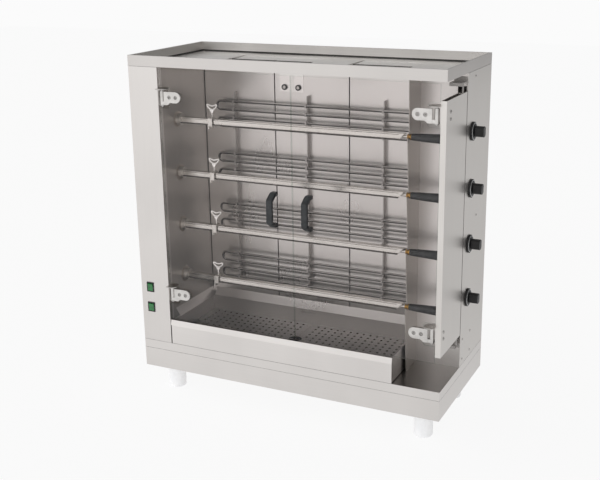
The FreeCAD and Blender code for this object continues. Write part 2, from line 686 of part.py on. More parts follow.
def element_rails():
    """Upright plates set edge-on to the reflector, with a welded hook around every element run."""
    low = Z_DECK + RAIL_BOTTOM
    high = Z_DECK + RAIL_TOP
    half = RAIL_SHEET / 2.0
    hook = CLIP_WIDTH / 2.0
    clip_front = ELEMENT_Y - TUBE_RADIUS - CLIP_FRONT
    shapes = []
    for x in RAIL_XS:
        parts = [box(x - half, x + half, RAIL_FRONT_Y, REFLECTOR_Y, low, high)]
        bores = []
        for z_mid in SPIT_ZS:
            for z in tube_heights(z_mid):
                parts.append(box(x - hook, x + hook, clip_front, RAIL_FRONT_Y,
                                 z - CLIP_HEIGHT / 2.0, z + CLIP_HEIGHT / 2.0))
                bores.append(rod_x(x - hook, x + hook, ELEMENT_Y, z,
                                   TUBE_RADIUS + RUNNING_CLEARANCE))
        shapes.append(cut(fuse(*parts), *bores))
    return shapes


# ---------------------------------------------------------------- drive
def spit_bearings():
    shapes = []
    for z in SPIT_ZS:
        body = rod_x(LEFT_COLUMN_WIDTH - BUSH_LENGTH, LEFT_COLUMN_WIDTH, SPIT_Y, z, BUSH_RADIUS)
        flange = Part.makeCone(BUSH_FLANGE_RADIUS, BUSH_CROWN_RADIUS, BUSH_FLANGE,
                               Vector(LEFT_COLUMN_WIDTH, SPIT_Y, z), X_AXIS)
        bore = rod_x(LEFT_COLUMN_WIDTH - BUSH_LENGTH, LEFT_COLUMN_WIDTH + BUSH_FLANGE, SPIT_Y, z,
                     SHAFT_RADIUS + RUNNING_CLEARANCE)
        shapes.append(cut(fuse(body, flange), bore))
    return shapes


def sprocket(z):
    """Toothed disc on a shaft along x, with one pocket per chain roller."""
    disc = rod_x(SPROCKET_X, SPROCKET_X + SPROCKET_THICKNESS, SPIT_Y, z, TIP_RADIUS)
    pockets = []
    for tooth in range(SPROCKET_TEETH):
        angle = 2.0 * math.pi * tooth / SPROCKET_TEETH
        pockets.append(rod_x(SPROCKET_X, SPROCKET_X + SPROCKET_THICKNESS,
                             SPIT_Y + PITCH_RADIUS * math.cos(angle),
                             z + PITCH_RADIUS * math.sin(angle), ROLLER_RADIUS))
    return cut(disc, *pockets)


def drive_shaft(z):
    """Hub, shaft and sprocket that turn one spit; the hub has a square socket."""
    hub_start = LEFT_COLUMN_WIDTH + BUSH_FLANGE + AXIAL_GAP
    hub = rod_x(hub_start, HUB_END_X, SPIT_Y, z, HUB_RADIUS)
    shaft = rod_x(SPROCKET_X - SHAFT_STUB, hub_start, SPIT_Y, z, SHAFT_RADIUS)
    half = TANG_SIDE / 2.0 + SOCKET_CLEARANCE
    socket = box(HUB_END_X - TANG_LENGTH - AXIAL_GAP, HUB_END_X, SPIT_Y - half, SPIT_Y + half,
                 z - half, z + half)
    wheel = cut(sprocket(z), rod_x(SPROCKET_X, SPROCKET_X + SPROCKET_THICKNESS, SPIT_Y, z,
                                   SHAFT_RADIUS))
    return cut(fuse(hub, shaft, wheel), socket)


def gearmotor():
    """Gearbox with its output shaft hole and the motor can behind it."""
    x0 = SHEET
    x1 = SPROCKET_X - GEARBOX_GAP
    rear = SPIT_Y + GEARBOX_DEPTH / 2.0
    gearbox = box(x0, x1, SPIT_Y - GEARBOX_DEPTH / 2.0, rear, MOTOR_Z - GEARBOX_HEIGHT / 2.0,
                  MOTOR_Z + GEARBOX_HEIGHT / 2.0)
    can = rod_y((x0 + x1) / 2.0, rear, rear + MOTOR_LENGTH, MOTOR_Z, MOTOR_RADIUS)
    bore = rod_x(x1 - BUSH_LENGTH, x1, SPIT_Y, MOTOR_Z, SHAFT_RADIUS + RUNNING_CLEARANCE)
    return cut(fuse(gearbox, can), bore)


def motor_sprocket():
    shaft = rod_x(SPROCKET_X - GEARBOX_GAP - BUSH_LENGTH + AXIAL_GAP,
                  SPROCKET_X + SPROCKET_THICKNESS, SPIT_Y, MOTOR_Z, SHAFT_RADIUS)
    return fuse(sprocket(MOTOR_Z), shaft)


def drive_chain():
    """The chain as one closed band around all the sprockets."""
    mid = SPROCKET_X + SPROCKET_THICKNESS / 2.0
    x0 = mid - CHAIN_WIDTH / 2.0
    x1 = mid + CHAIN_WIDTH / 2.0

    def loop(radius):
        ends = [rod_x(x0, x1, SPIT_Y, z, radius) for z in (SPIT_ZS[0], MOTOR_Z)]
        middle = box(x0, x1, SPIT_Y - radius, SPIT_Y + radius, MOTOR_Z, SPIT_ZS[0])
        return fuse(middle, *ends)

    inner = TIP_RADIUS + CHAIN_CLEARANCE
    return cut(loop(inner + CHAIN_THICKNESS), loop(inner))


# ---------------------------------------------------------------- spits, forks, thumb screws
def spit(z):
    """Angle bar with square tang and round neck, brass ferrule and tapered handle."""
    half = BAR_LEG / 2.0
    front = SPIT_Y - half
    back = SPIT_Y + half
    top = z + half
    low = z - half
    section = [(front, top), (back, top), (back, top - BAR_SHEET),
               (front + BAR_SHEET, top - BAR_SHEET), (front + BAR_SHEET, low),
               (front - BAR_LIP, low), (front - BAR_LIP, low + BAR_SHEET / 2.0),
               (front, low + BAR_SHEET / 2.0)]
    bar_start = HUB_END_X + AXIAL_GAP
    bar = prism_x(section, bar_start, BAR_HIGH_END)
    slant = prism_y([(BAR_LOW_END, low - SHEET), (BAR_HIGH_END + SHEET, low - SHEET),
                     (BAR_HIGH_END + SHEET, top - BAR_SHEET), (BAR_HIGH_END, top - BAR_SHEET)],
                    front - BAR_LIP - SHEET, front + BAR_SHEET)
    tang_half = TANG_SIDE / 2.0
    tang = box(HUB_END_X - TANG_LENGTH, bar_start, SPIT_Y - tang_half, SPIT_Y + tang_half,
               z - tang_half, z + tang_half)
    tang_seat = box(bar_start, bar_start + TANG_LENGTH, front + BAR_SHEET, SPIT_Y + tang_half,
                    z - tang_half, top - BAR_SHEET)
    neck_end = FERRULE_END + NECK_IN_HANDLE
    neck = rod_x(BAR_LOW_END - BAR_LEG, neck_end, SPIT_Y, z, NECK_RADIUS)
    neck_seat = box(BAR_LOW_END - BAR_LEG, BAR_HIGH_END, SPIT_Y - NECK_RADIUS,
                    SPIT_Y + NECK_RADIUS, z, top - BAR_SHEET)
    steel = fuse(cut(bar, slant), tang, tang_seat, neck, neck_seat)

    groove_end = FERRULE_X + FERRULE_SHOULDER + FERRULE_GROOVE
    bore = rod_x(FERRULE_X, neck_end, SPIT_Y, z, NECK_RADIUS)
    ferrule = fuse(rod_x(FERRULE_X, FERRULE_X + FERRULE_SHOULDER, SPIT_Y, z, FERRULE_RADIUS),
                   rod_x(FERRULE_X, FERRULE_END, SPIT_Y, z, FERRULE_GROOVE_RADIUS),
                   rod_x(groove_end, FERRULE_END, SPIT_Y, z, FERRULE_RADIUS))
    cone = Part.makeCone(HANDLE_START_RADIUS, HANDLE_END_RADIUS, HANDLE_LENGTH,
                         Vector(FERRULE_END, SPIT_Y, z), X_AXIS)
    cap = rod_x(FERRULE_END + HANDLE_LENGTH, HANDLE_END, SPIT_Y, z, HANDLE_CAP_RADIUS)
    return [steel, cut(ferrule, bore), cut(fuse(cone, cap), bore)]


def fork(z):
    """Square collar that slides on the bar, with a plate that carries two prongs behind it."""
    inner = BAR_LEG / 2.0 + FORK_CLEARANCE
    outer = inner + FORK_WALL
    front = SPIT_Y - outer - BAR_LIP
    collar = box(FORK_X, FORK_X + FORK_LENGTH, front, SPIT_Y + outer, z - outer, z + outer)
    prong_y = SPIT_Y + outer + 2.0 * PRONG_RADIUS
    plate = box(FORK_X, FORK_X + FORK_PLATE, front, prong_y + 2.0 * PRONG_RADIUS,
                z - FORK_PLATE_BELOW, z + outer)
    prongs = []
    for side in (-1, 1):
        height = z - PRONG_SHIFT + side * PRONG_SPACING / 2.0
        tip_x = FORK_X + FORK_PLATE + PRONG_LENGTH
        prongs.append(rod_x(FORK_X, tip_x, prong_y, height, PRONG_RADIUS))
        prongs.append(Part.makeCone(PRONG_RADIUS, PRONG_TIP_RADIUS, PRONG_TIP_LENGTH,
                                    Vector(tip_x, prong_y, height), X_AXIS))
    passage = box(FORK_X, FORK_X + FORK_LENGTH, SPIT_Y - inner - BAR_LIP, SPIT_Y + inner,
                  z - inner, z + inner)
    thread = rod_z(FORK_X + FORK_LENGTH / 2.0, SPIT_Y, z, z + outer,
                   SCREW_RADIUS + RUNNING_CLEARANCE)
    return cut(fuse(collar, plate, *prongs), passage, thread)


def loop_point(turn):
    """Point of the heart-shaped loop; turn runs from 0 to 1, from its foot and back."""
    angle = 2.0 * math.pi * turn
    across = LOOP_HALF_WIDTH * math.sin(angle)
    ellipse = (0.5 - LOOP_SHOULDER / 2.0) * (1.0 - math.cos(angle))
    rise = LOOP_HEIGHT * (ellipse + LOOP_SHOULDER * (1.0 - math.cos(2.0 * angle)))
    dip = LOOP_DIP * math.exp(-((turn - 0.5) / LOOP_DIP_SPREAD) ** 2)
    return across, rise - dip


def wing_screw(z):
    """Thumb screw: threaded stem that widens into a flat heart-shaped loop."""
    x = FORK_X + FORK_LENGTH / 2.0
    bar_top = z + BAR_LEG / 2.0
    stem_top = bar_top + FORK_CLEARANCE + FORK_WALL + SCREW_STEM
    y0 = SPIT_Y - LOOP_BAR
    stem = rod_z(x, SPIT_Y, bar_top + AXIAL_GAP, stem_top, SCREW_RADIUS)
    gusset = prism_y([(x - SCREW_RADIUS, stem_top - LOOP_GUSSET),
                      (x + SCREW_RADIUS, stem_top - LOOP_GUSSET),
                      (x + LOOP_GUSSET, stem_top + LOOP_BAR),
                      (x - LOOP_GUSSET, stem_top + LOOP_BAR)], y0, y0 + 2.0 * LOOP_BAR)
    pieces = [stem, gusset]
    points = [loop_point(k / LOOP_STEPS) for k in range(LOOP_STEPS)]
    for k, (a0, z0) in enumerate(points):
        a1, z1 = points[(k + 1) % LOOP_STEPS]
        start = Vector(x + a0, y0, stem_top + z0)
        end = Vector(x + a1, y0, stem_top + z1)
        run = end - start
        across = Vector(-run.z, 0, run.x).normalize() * LOOP_BAR
        flat = Part.Face(Part.makePolygon([start - across, end - across, end + across,
                                           start + across, start - across]))
        pieces.append(flat.extrude(Y_AXIS * (2.0 * LOOP_BAR)))
        pieces.append(rod_y(start.x, y0, y0 + 2.0 * LOOP_BAR, start.z, LOOP_BAR))
    return fuse(*pieces)


# ---------------------------------------------------------------- glass doors
def hinge_notch(pin_x, side, z):
    """Cut-out of the glass around one hinge; side is +1 where the glass lies at +x."""
    low = z - NOTCH_BELOW
    high = z + NOTCH_ABOVE
    far_x = pin_x - 3.0 * NOTCH_REACH
    near_x = pin_x + NOTCH_REACH
    block = box(far_x, near_x, GLASS_FRONT_Y - GLASS, GLASS_FRONT_Y + 2.0 * GLASS, low, high)
    corners = [edge for edge in block.Edges
               if edge.BoundBox.XMin > near_x - 1e-6 and edge.BoundBox.ZLength < 1e-6]
    block = block.makeFillet(NOTCH_CORNER, corners)
    return block if side > 0 else mirrored(block, pin_x)


def door_glass(x0, x1, pin_x, side):
    pane = box(x0, x1, GLASS_FRONT_Y, GLASS_FRONT_Y + GLASS, Z_DECK + DOOR_BOTTOM,
               Z_DECK + DOOR_TOP)
    holes = [rod_y(x, GLASS_FRONT_Y, GLASS_FRONT_Y + GLASS, z, LEAF_SHANK_RADIUS)
             for z in HINGE_ZS for x in leaf_screw_xs(pin_x, side)]
    grip_x = MEETING_X - side * GRIP_OFFSET
    holes += [rod_y(grip_x, GLASS_FRONT_Y, GLASS_FRONT_Y + GLASS, z, SCREW_RADIUS)
              for z in grip_screw_zs()]
    return cut(pane, *[hinge_notch(pin_x, side, z) for z in HINGE_ZS], *holes)


def leaf_screw_xs(pin_x, side):
    far = pin_x + side * (LEAF_LENGTH - LEAF_SCREW_INSET)
    return [far, far - side * LEAF_SCREW_PITCH]


def grip_screw_zs():
    reach = GRIP_HEIGHT / 2.0 - GRIP_LEG / 2.0
    return [GRIP_MID_Z - reach, GRIP_MID_Z + reach]


def door_handle(x):
    """Bridge handle with slanted legs; its screws come through the glass from behind."""
    half = GRIP_HEIGHT / 2.0
    back = GLASS_FRONT_Y
    front = GRIP_FRONT_Y
    inner_y = front + GRIP_THICKNESS
    inner_half = half - GRIP_LEG
    outline = [(back, half), (front + GRIP_CHAMFER_Y, half), (front, half - GRIP_CHAMFER_Z)]
    outline += [(y, -z) for y, z in reversed(outline)]
    inner = [(back, -inner_half), (inner_y + GRIP_INNER_CHAMFER_Y, -inner_half),
             (inner_y, -inner_half + GRIP_INNER_CHAMFER_Z)]
    inner += [(y, -z) for y, z in reversed(inner)]
    body = prism_x([(y, GRIP_MID_Z + z) for y, z in outline + inner],
                   x - GRIP_WIDTH / 2.0, x + GRIP_WIDTH / 2.0)
    long_edges = [e for e in body.Edges
                  if e.BoundBox.XLength < 1e-6 and e.BoundBox.YMin < back - 1e-6
                  and e.BoundBox.YMax < back - 1e-6]
    body = body.makeFillet(GRIP_ROUND, long_edges)
    screws = []
    for z in grip_screw_zs():
        shank = rod_y(x, back, back + GLASS, z, SCREW_RADIUS - RUNNING_CLEARANCE)
        head = rod_y(x, back + GLASS, back + GLASS + SCREW_HEAD, z, SCREW_HEAD_RADIUS)
        screws.append(fuse(shank, head))
    return [body] + screws


def leaf_outline(pin_x, y, z):
    """Wire of the leaf's plate: round end, straight top, and a lower edge with an S-bend."""
    radius = LEAF_HALF_HEIGHT
    start_x = pin_x + LEAF_START
    round_x = pin_x + LEAF_LENGTH - radius
    neck_x = pin_x + LEAF_NECK
    blend_x = pin_x + LEAF_BLEND
    run = blend_x - neck_x
    rise = LEAF_DROP - radius
    bend = (run ** 2 + rise ** 2) / (4.0 * rise)
    half_turn = math.atan2(rise, run)
    low = z - LEAF_DROP
    middle = Vector((neck_x + blend_x) / 2.0, y, low + rise / 2.0)
    offset = Vector(bend * math.sin(half_turn), 0, bend * (1.0 - math.cos(half_turn)))
    first = Part.Arc(Vector(neck_x, y, low), Vector(neck_x, y, low) + offset, middle)
    second = Part.Arc(middle, Vector(blend_x, y, z - radius) - offset,
                      Vector(blend_x, y, z - radius))
    end = Part.Arc(Vector(round_x, y, z - radius), Vector(round_x + radius, y, z),
                   Vector(round_x, y, z + radius))
    lines = [(Vector(start_x, y, low), Vector(neck_x, y, low)),
             (Vector(blend_x, y, z - radius), Vector(round_x, y, z - radius)),
             (Vector(round_x, y, z + radius), Vector(start_x, y, z + radius)),
             (Vector(start_x, y, z + radius), Vector(start_x, y, low))]
    sides = [Part.LineSegment(a, b).toShape() for a, b in lines]
    return Part.Wire([sides[0], first.toShape(), second.toShape(), sides[1], end.toShape(),
                      sides[2], sides[3]])


def leaf(pin_x, z):
    """Outer hinge leaf for a left-hand door: barrel, bridge and round-ended plate."""
    y0 = GLASS_FRONT_Y - LEAF_THICKNESS
    plate = Part.Face(leaf_outline(pin_x, y0, z)).extrude(Y_AXIS * LEAF_THICKNESS)
    front_edges = [edge for edge in plate.Edges if edge.BoundBox.YMax < y0 + 1e-4]
    plate = plate.makeFillet(LEAF_EDGE, front_edges)
    low = z - LEAF_DROP
    top = z + LEAF_HALF_HEIGHT
    bridge = box(pin_x, pin_x + LEAF_START + LEAF_EDGE, y0 + LEAF_EDGE, PIN_Y, low + LEAF_EDGE,
                 low + LEAF_BRIDGE)
    barrel = rod_z(pin_x, PIN_Y, low, top, BARREL_RADIUS)
    bore = rod_z(pin_x, PIN_Y, low, top, PIN_RADIUS + RUNNING_CLEARANCE)
    return cut(fuse(plate, bridge, barrel), bore)


def leaf_clamp(pin_x, z):
    """Inner plate behind the glass that the leaf screws pull against."""
    y0 = GLASS_FRONT_Y + GLASS
    radius = LEAF_HALF_HEIGHT - SHEET
    round_x = pin_x + LEAF_LENGTH - LEAF_HALF_HEIGHT
    plate = box(pin_x + NOTCH_REACH + SHEET, round_x, y0, y0 + CLAMP_THICKNESS, z - radius,
                z + radius)
    return fuse(plate, rod_y(round_x, y0, y0 + CLAMP_THICKNESS, z, radius))


def leaf_screw(x, z):
    """Socket-head screw, sunk into the leaf, through the glass and into the clamp."""
    y0 = GLASS_FRONT_Y - LEAF_THICKNESS + LEAF_SCREW_SUNK
    y1 = GLASS_FRONT_Y + GLASS + CLAMP_THICKNESS
    neck = GLASS_FRONT_Y - LEAF_THICKNESS / 2.0
    head = rod_y(x, y0, neck, z, LEAF_SCREW_RADIUS)
    shank = rod_y(x, neck, y1, z, LEAF_SHANK_RADIUS - RUNNING_CLEARANCE)
    socket = rod_y(x, y0, y0 + LEAF_SCREW_SUNK * 2.0, z, LEAF_SCREW_RADIUS / 2.0)
    return cut(fuse(head, shank), socket)


def door_leaves(side):
    """Leaves, clamps and screws of one door; side +1 is the left door, -1 the right one."""
    y_front = GLASS_FRONT_Y - LEAF_THICKNESS
    neck = GLASS_FRONT_Y - LEAF_THICKNESS / 2.0
    y_back = GLASS_FRONT_Y + GLASS + CLAMP_THICKNESS
    shapes = []
    for z in HINGE_ZS:
        xs = leaf_screw_xs(PIN_X_LEFT, 1)
        sinks = [rod_y(x, y_front, neck, z, LEAF_SCREW_RADIUS) for x in xs]
        holes = [rod_y(x, y_front, y_back, z, LEAF_SHANK_RADIUS) for x in xs]
        shapes.append(cut(leaf(PIN_X_LEFT, z), *sinks, *holes))
        shapes.append(cut(leaf_clamp(PIN_X_LEFT, z), *holes))
        shapes += [leaf_screw(x, z) for x in xs]
    if side > 0:
        return shapes
    axis_x = (PIN_X_LEFT + PIN_X_RIGHT) / 2.0
    return [mirrored(shape, axis_x) for shape in shapes]


def hinge_bracket(pin_x, wall_x, z):
    """Fixed half of a hinge at a wall to the left of the pin: plate, two arms and the pin."""
    barrel_low = z - LEAF_DROP
    barrel_top = z + LEAF_HALF_HEIGHT
    arm_top = barrel_low - EAR_GAP
    arm_low = arm_top - EAR_THICKNESS
    ear_low = barrel_top + SPACER_HEIGHT
    ear_top = ear_low + EAR_THICKNESS
    plate = box(wall_x, wall_x + BRACKET_THICKNESS, BRACKET_FRONT_Y, BRACKET_BACK_Y, arm_low,
                ear_top)
    beyond = box(wall_x - 2.0 * EAR_RADIUS, wall_x, PIN_Y - 2.0 * EAR_RADIUS,
                 PIN_Y + 2.0 * EAR_RADIUS, ear_low, ear_top)
    ear = cut(rod_z(pin_x, PIN_Y, ear_low, ear_top, EAR_RADIUS), beyond)
    nose = rod_z(pin_x, PIN_Y, arm_low, arm_top, EAR_NOSE_RADIUS)
    web = box(wall_x, pin_x, PIN_Y, BRACKET_BACK_Y, arm_low, arm_top)
    bracket = fuse(plate, ear, nose, web)
    stem = rod_z(pin_x, PIN_Y, arm_low, ear_top, PIN_RADIUS)
    spacer = rod_z(pin_x, PIN_Y, barrel_top + EAR_GAP, ear_low, SPACER_RADIUS)
    button = rod_z(pin_x, PIN_Y, arm_low - PIN_END_LENGTH, arm_low, PIN_END_RADIUS)
    low_edges = [edge for edge in button.Edges if edge.BoundBox.ZMax < arm_low - PIN_END_ROUND]
    button = button.makeFillet(PIN_END_ROUND, low_edges)
    return [cut(bracket, stem), fuse(stem, spacer, button)]


def left_hinge_brackets():
    return [s for z in HINGE_ZS for s in hinge_bracket(PIN_X_LEFT, LEFT_COLUMN_WIDTH, z)]


def gate_hinge_brackets():
    """Fixed halves of the right door's hinges, on the side gate, and their screw heads."""
    shapes = []
    for z, y in zip(HINGE_ZS, GATE_SCREW_YS):
        for solid in hinge_bracket(PIN_X_RIGHT, PIN_X_RIGHT - PIN_INSET, z):
            shapes.append(mirrored(solid, PIN_X_RIGHT))
        for side in (-1, 1):
            point = Vector(WIDTH, y, z - GATE_SCREW_DROP + side * GATE_SCREW_OFFSET)
            shapes.append(screw_head(point, X_AXIS, GATE_SCREW_RADIUS, GATE_SCREW_PROUD))
    return shapes


# ---------------------------------------------------------------- side gate
def side_gate():
    """Double-skinned gate, open at its top, with a pivot plate near each end of its rear edge."""
    low = Z_DECK + GATE_BOTTOM
    high = Z_DECK + GATE_TOP
    outer = box(GATE_INNER_X, WIDTH, 0, GATE_REAR_Y, low, high)
    inner = box(GATE_INNER_X + SHEET, WIDTH - SHEET, SHEET, GATE_REAR_Y - SHEET, low, high)
    tongue_y = GATE_REAR_Y - PIVOT_TONGUE
    plates = []
    bores = []
    for z in (low, high - PIVOT_PLATE):
        plates.append(box(GATE_INNER_X + SHEET, WIDTH - SHEET, tongue_y, GATE_REAR_Y - SHEET, z,
                          z + PIVOT_PLATE))
        bores.append(rod_z(GATE_PIVOT_X, GATE_PIVOT_Y, z, z + PIVOT_PLATE,
                           PIVOT_RADIUS + RUNNING_CLEARANCE))
    return cut(fuse(cut(outer, inner), *plates), *bores)


def pivot_bracket():
    """Upper bracket on the bay wall, with the pin that hangs down into the gate."""
    face = Z_DECK + GATE_TOP
    z0 = face + PIVOT_STANDOFF
    z1 = z0 + SHEET
    right = WIDTH - SHEET
    left = right - BRACKET_WIDTH
    front = BAY_DEPTH - BRACKET_DEPTH
    plate = box(left, right, front, BAY_DEPTH, z0, z1)
    flange = box(left, right, front, front + SHEET, z1 - BRACKET_FLANGE, z1)
    tab = box(left, right, BAY_DEPTH - SHEET, BAY_DEPTH, z0, z1 + BRACKET_TAB)
    pin = rod_z(GATE_PIVOT_X, GATE_PIVOT_Y, face - PIVOT_PLATE, z1, PIVOT_RADIUS)
    return fuse(plate, flange, tab, pin)


def gate_pivots():
    """The two pivot brackets; the lower one has a shoulder on its pin that carries the gate."""
    upper = pivot_bracket()
    middle_z = Z_DECK + (GATE_TOP + GATE_BOTTOM) / 2.0
    lower = upper.mirror(Vector(0, 0, middle_z), Z_AXIS)
    face = Z_DECK + GATE_BOTTOM
    shoulder = rod_z(GATE_PIVOT_X, GATE_PIVOT_Y, face - PIVOT_STANDOFF, face - PIVOT_GAP,
                     PIVOT_SHOULDER)
    return [upper, fuse(lower, shoulder)]


# ---------------------------------------------------------------- drawer
def drip_drawer():
    """Shallow pan with a folded front; the top of the front leans back as a bevel."""
    floor = Z_DECK + DRAWER_FLOOR
    top = Z_DECK + DRAWER_TOP
    front_low = Z_DECK + DRAWER_FRONT_BOTTOM
    bevel = top - DRAWER_BEVEL
    front = prism_x([(0, front_low), (SHEET, front_low), (SHEET, bevel),
                     (DRAWER_LEAN + SHEET, top), (DRAWER_LEAN, top), (0, bevel)],
                    DRAWER_LEFT, DRAWER_RIGHT)
    band = prism_x([(0, bevel), (SHEET, bevel), (DRAWER_LEAN + SHEET, top), (DRAWER_LEAN, top)],
                   LEFT_COLUMN_WIDTH + SEAM_GAP, DRAWER_LEFT)
    back = DRAWER_DEPTH
    shell = cut(box(DRAWER_LEFT, DRAWER_RIGHT, SHEET, back, floor, top),
                box(DRAWER_LEFT + SHEET, DRAWER_RIGHT - SHEET, SHEET, back - SHEET,
                    floor + SHEET, top))
    lean = prism_x([(SHEET, bevel), (SHEET, top), (DRAWER_LEAN + SHEET / 2.0, top)], DRAWER_LEFT,
                   DRAWER_RIGHT)
    return fuse(cut(shell, lean), front, band)


def drip_insert(x0, x1):
    """Perforated plate with front and back legs, and a half-round finger notch at each end."""
    top = Z_DECK + INSERT_TOP
    y0 = DRAWER_LEAN + SHEET + INSERT_GAP
    y1 = DRAWER_DEPTH - SHEET - INSERT_GAP
    leg_low = Z_DECK + DRAWER_FLOOR + SHEET
    corners = [(x0, y0), (x1, y0), (x1, y1), (x0, y1), (x0, y0)]
    outline = Part.makePolygon([Vector(x, y, top - SHEET) for x, y in corners])
    columns = int((x1 - x0 - 2.0 * HOLE_EDGE) / HOLE_PITCH) + 1
    rows = int((y1 - y0 - 2.0 * HOLE_BACK_EDGE) / HOLE_PITCH) + 1
    first_x = (x0 + x1) / 2.0 - (columns - 1) * HOLE_PITCH / 2.0
    first_y = y1 - HOLE_BACK_EDGE - (rows - 1) * HOLE_PITCH
    holes = []
    for i in range(columns):
        for j in range(rows):
            x = first_x + i * HOLE_PITCH
            y = first_y + j * HOLE_PITCH
            near_end = min(x - x0, x1 - x) < FINGER_RADIUS + HOLE_PITCH / 2.0
            if near_end and abs(y - FINGER_Y) < FINGER_RADIUS + HOLE_RADIUS:
                continue
            centre = Vector(x, y, top - SHEET)
            holes.append(Part.Wire(Part.Circle(centre, Z_AXIS, HOLE_RADIUS).toShape()))
    plate = holed_sheet(outline, holes, Z_AXIS * SHEET)
    notches = [rod_z(x, FINGER_Y, top - SHEET, top, FINGER_RADIUS) for x in (x0, x1)]
    legs = [box(x0, x1, y, y + SHEET, leg_low, top) for y in (y0, y1 - SHEET)]
    return fuse(cut(plate, *notches), *legs)


def insert_spans():
    left = DRAWER_LEFT + SHEET + INSERT_GAP
    right = DRAWER_RIGHT - SHEET - INSERT_GAP
    middle = (left + right) / 2.0
    return (left, middle - INSERT_GAP / 2.0), (middle + INSERT_GAP / 2.0, right)


def drawer_runners():
    """Two flat skids on the deck that the drawer slides on."""
    shapes = []
    for x0, way in ((DRAWER_LEFT + RUNNER_INSET, 1), (DRAWER_RIGHT - RUNNER_INSET, -1)):
        a = min(x0, x0 + way * RUNNER_WIDTH)
        b = max(x0, x0 + way * RUNNER_WIDTH)
        shapes.append(box(a, b, RUNNER_INSET, DRAWER_DEPTH, Z_DECK, Z_DECK + RUNNER_HEIGHT))
    return shapes


# ---------------------------------------------------------------- controls
def energy_regulators():
    shapes = []
    x1 = WIDTH - SHEET
    half = REGULATOR_SIDE / 2.0
    for z in SPIT_ZS:
        body = box(x1 - REGULATOR_DEPTH, x1, KNOB_Y - half, KNOB_Y + half, z - half, z + half)
        bore = rod_x(WIDTH - SPINDLE_LENGTH, x1, KNOB_Y, z, SPINDLE_RADIUS + RUNNING_CLEARANCE)
        tabs = [box(x1 - REGULATOR_DEPTH - TERMINAL_LENGTH, x1 - REGULATOR_DEPTH, KNOB_Y + a,
                    KNOB_Y + a + SHEET, z - TERMINAL_RADIUS, z + TERMINAL_RADIUS)
                for a in (-REGULATOR_TAB_PITCH, 0.0, REGULATOR_TAB_PITCH)]
        shapes.append(cut(fuse(body, *tabs), bore))
    return shapes


def knob(z):
    """Skirt, bright ring, barrel with two finger flats, and the spindle."""
    x0 = WIDTH + KNOB_GAP
    skirt_end = x0 + KNOB_SKIRT
    ring_end = skirt_end + KNOB_RING
    x1 = WIDTH + KNOB_PROUD
    skirt = Part.makeCone(KNOB_SKIRT_RADIUS, KNOB_SKIRT_RADIUS - KNOB_RING, KNOB_SKIRT,
                          Vector(x0, KNOB_Y, z), X_AXIS)
    ring = rod_x(skirt_end, ring_end, KNOB_Y, z, KNOB_RING_RADIUS)
    barrel = rod_x(ring_end, x1, KNOB_Y, z, KNOB_GRIP_RADIUS)
    flat_start = KNOB_GRIP_RADIUS - KNOB_FLAT
    flat_x = ring_end + KNOB_RING
    flats = [box(flat_x, x1, y, y + KNOB_FLAT, z - KNOB_GRIP_RADIUS, z + KNOB_GRIP_RADIUS)
             for y in (KNOB_Y - flat_start - KNOB_FLAT, KNOB_Y + flat_start)]
    spindle = rod_x(WIDTH - SPINDLE_LENGTH + AXIAL_GAP, x0 + SHEET, KNOB_Y, z, SPINDLE_RADIUS)
    return fuse(skirt, ring, cut(barrel, *flats), spindle)


def rocker_housings():
    """Bezel and box of each mains rocker switch, open at the front for the rocker."""
    shapes = []
    for z in ROCKER_ZS:
        bezel = box(ROCKER_X - BEZEL_WIDTH / 2.0, ROCKER_X + BEZEL_WIDTH / 2.0, -BEZEL_PROUD, 0,
                    z - BEZEL_HEIGHT / 2.0, z + BEZEL_HEIGHT / 2.0)
        body = box(ROCKER_X - SWITCH_WIDTH / 2.0, ROCKER_X + SWITCH_WIDTH / 2.0, 0, SWITCH_DEPTH,
                   z - SWITCH_HEIGHT / 2.0, z + SWITCH_HEIGHT / 2.0)
        half_width = SWITCH_WIDTH / 2.0 - SWITCH_WALL
        half_height = SWITCH_HEIGHT / 2.0 - SWITCH_WALL
        window = box(ROCKER_X - half_width, ROCKER_X + half_width, -BEZEL_PROUD,
                     SWITCH_WINDOW_DEPTH, z - half_height, z + half_height)
        axle = rod_x(ROCKER_X - SWITCH_WIDTH / 2.0, ROCKER_X + SWITCH_WIDTH / 2.0, ROCKER_PIVOT_Y,
                     z, ROCKER_AXLE_RADIUS)
        shapes.append(fuse(cut(fuse(bezel, body), window), axle))
    return shapes


def rocker(z):
    """Rocker with a shallow V face, resting with its lower half pressed in."""
    half_width = SWITCH_WIDTH / 2.0 - SWITCH_WALL - ROCKER_CLEARANCE
    half_height = SWITCH_HEIGHT / 2.0 - SWITCH_WALL - ROCKER_END_CLEARANCE
    front = -BEZEL_PROUD
    rise = half_height * math.tan(math.radians(ROCKER_TILT))
    back = ROCKER_PIVOT_Y + 2.0 * ROCKER_AXLE_RADIUS
    outline = [(front, 0.0), (front - rise, half_height), (back - rise, half_height),
               (back, 0.0), (back - rise, -half_height), (front - rise, -half_height)]
    body = prism_x([(y, z + height) for y, height in outline], ROCKER_X - half_width,
                   ROCKER_X + half_width)
    bore = rod_x(ROCKER_X - SWITCH_WIDTH, ROCKER_X + SWITCH_WIDTH, ROCKER_PIVOT_Y, z,
                 ROCKER_AXLE_RADIUS + RUNNING_CLEARANCE)
    body = cut(body, bore)
    return body.rotated(Vector(ROCKER_X, ROCKER_PIVOT_Y, z), X_AXIS, ROCKER_TILT)


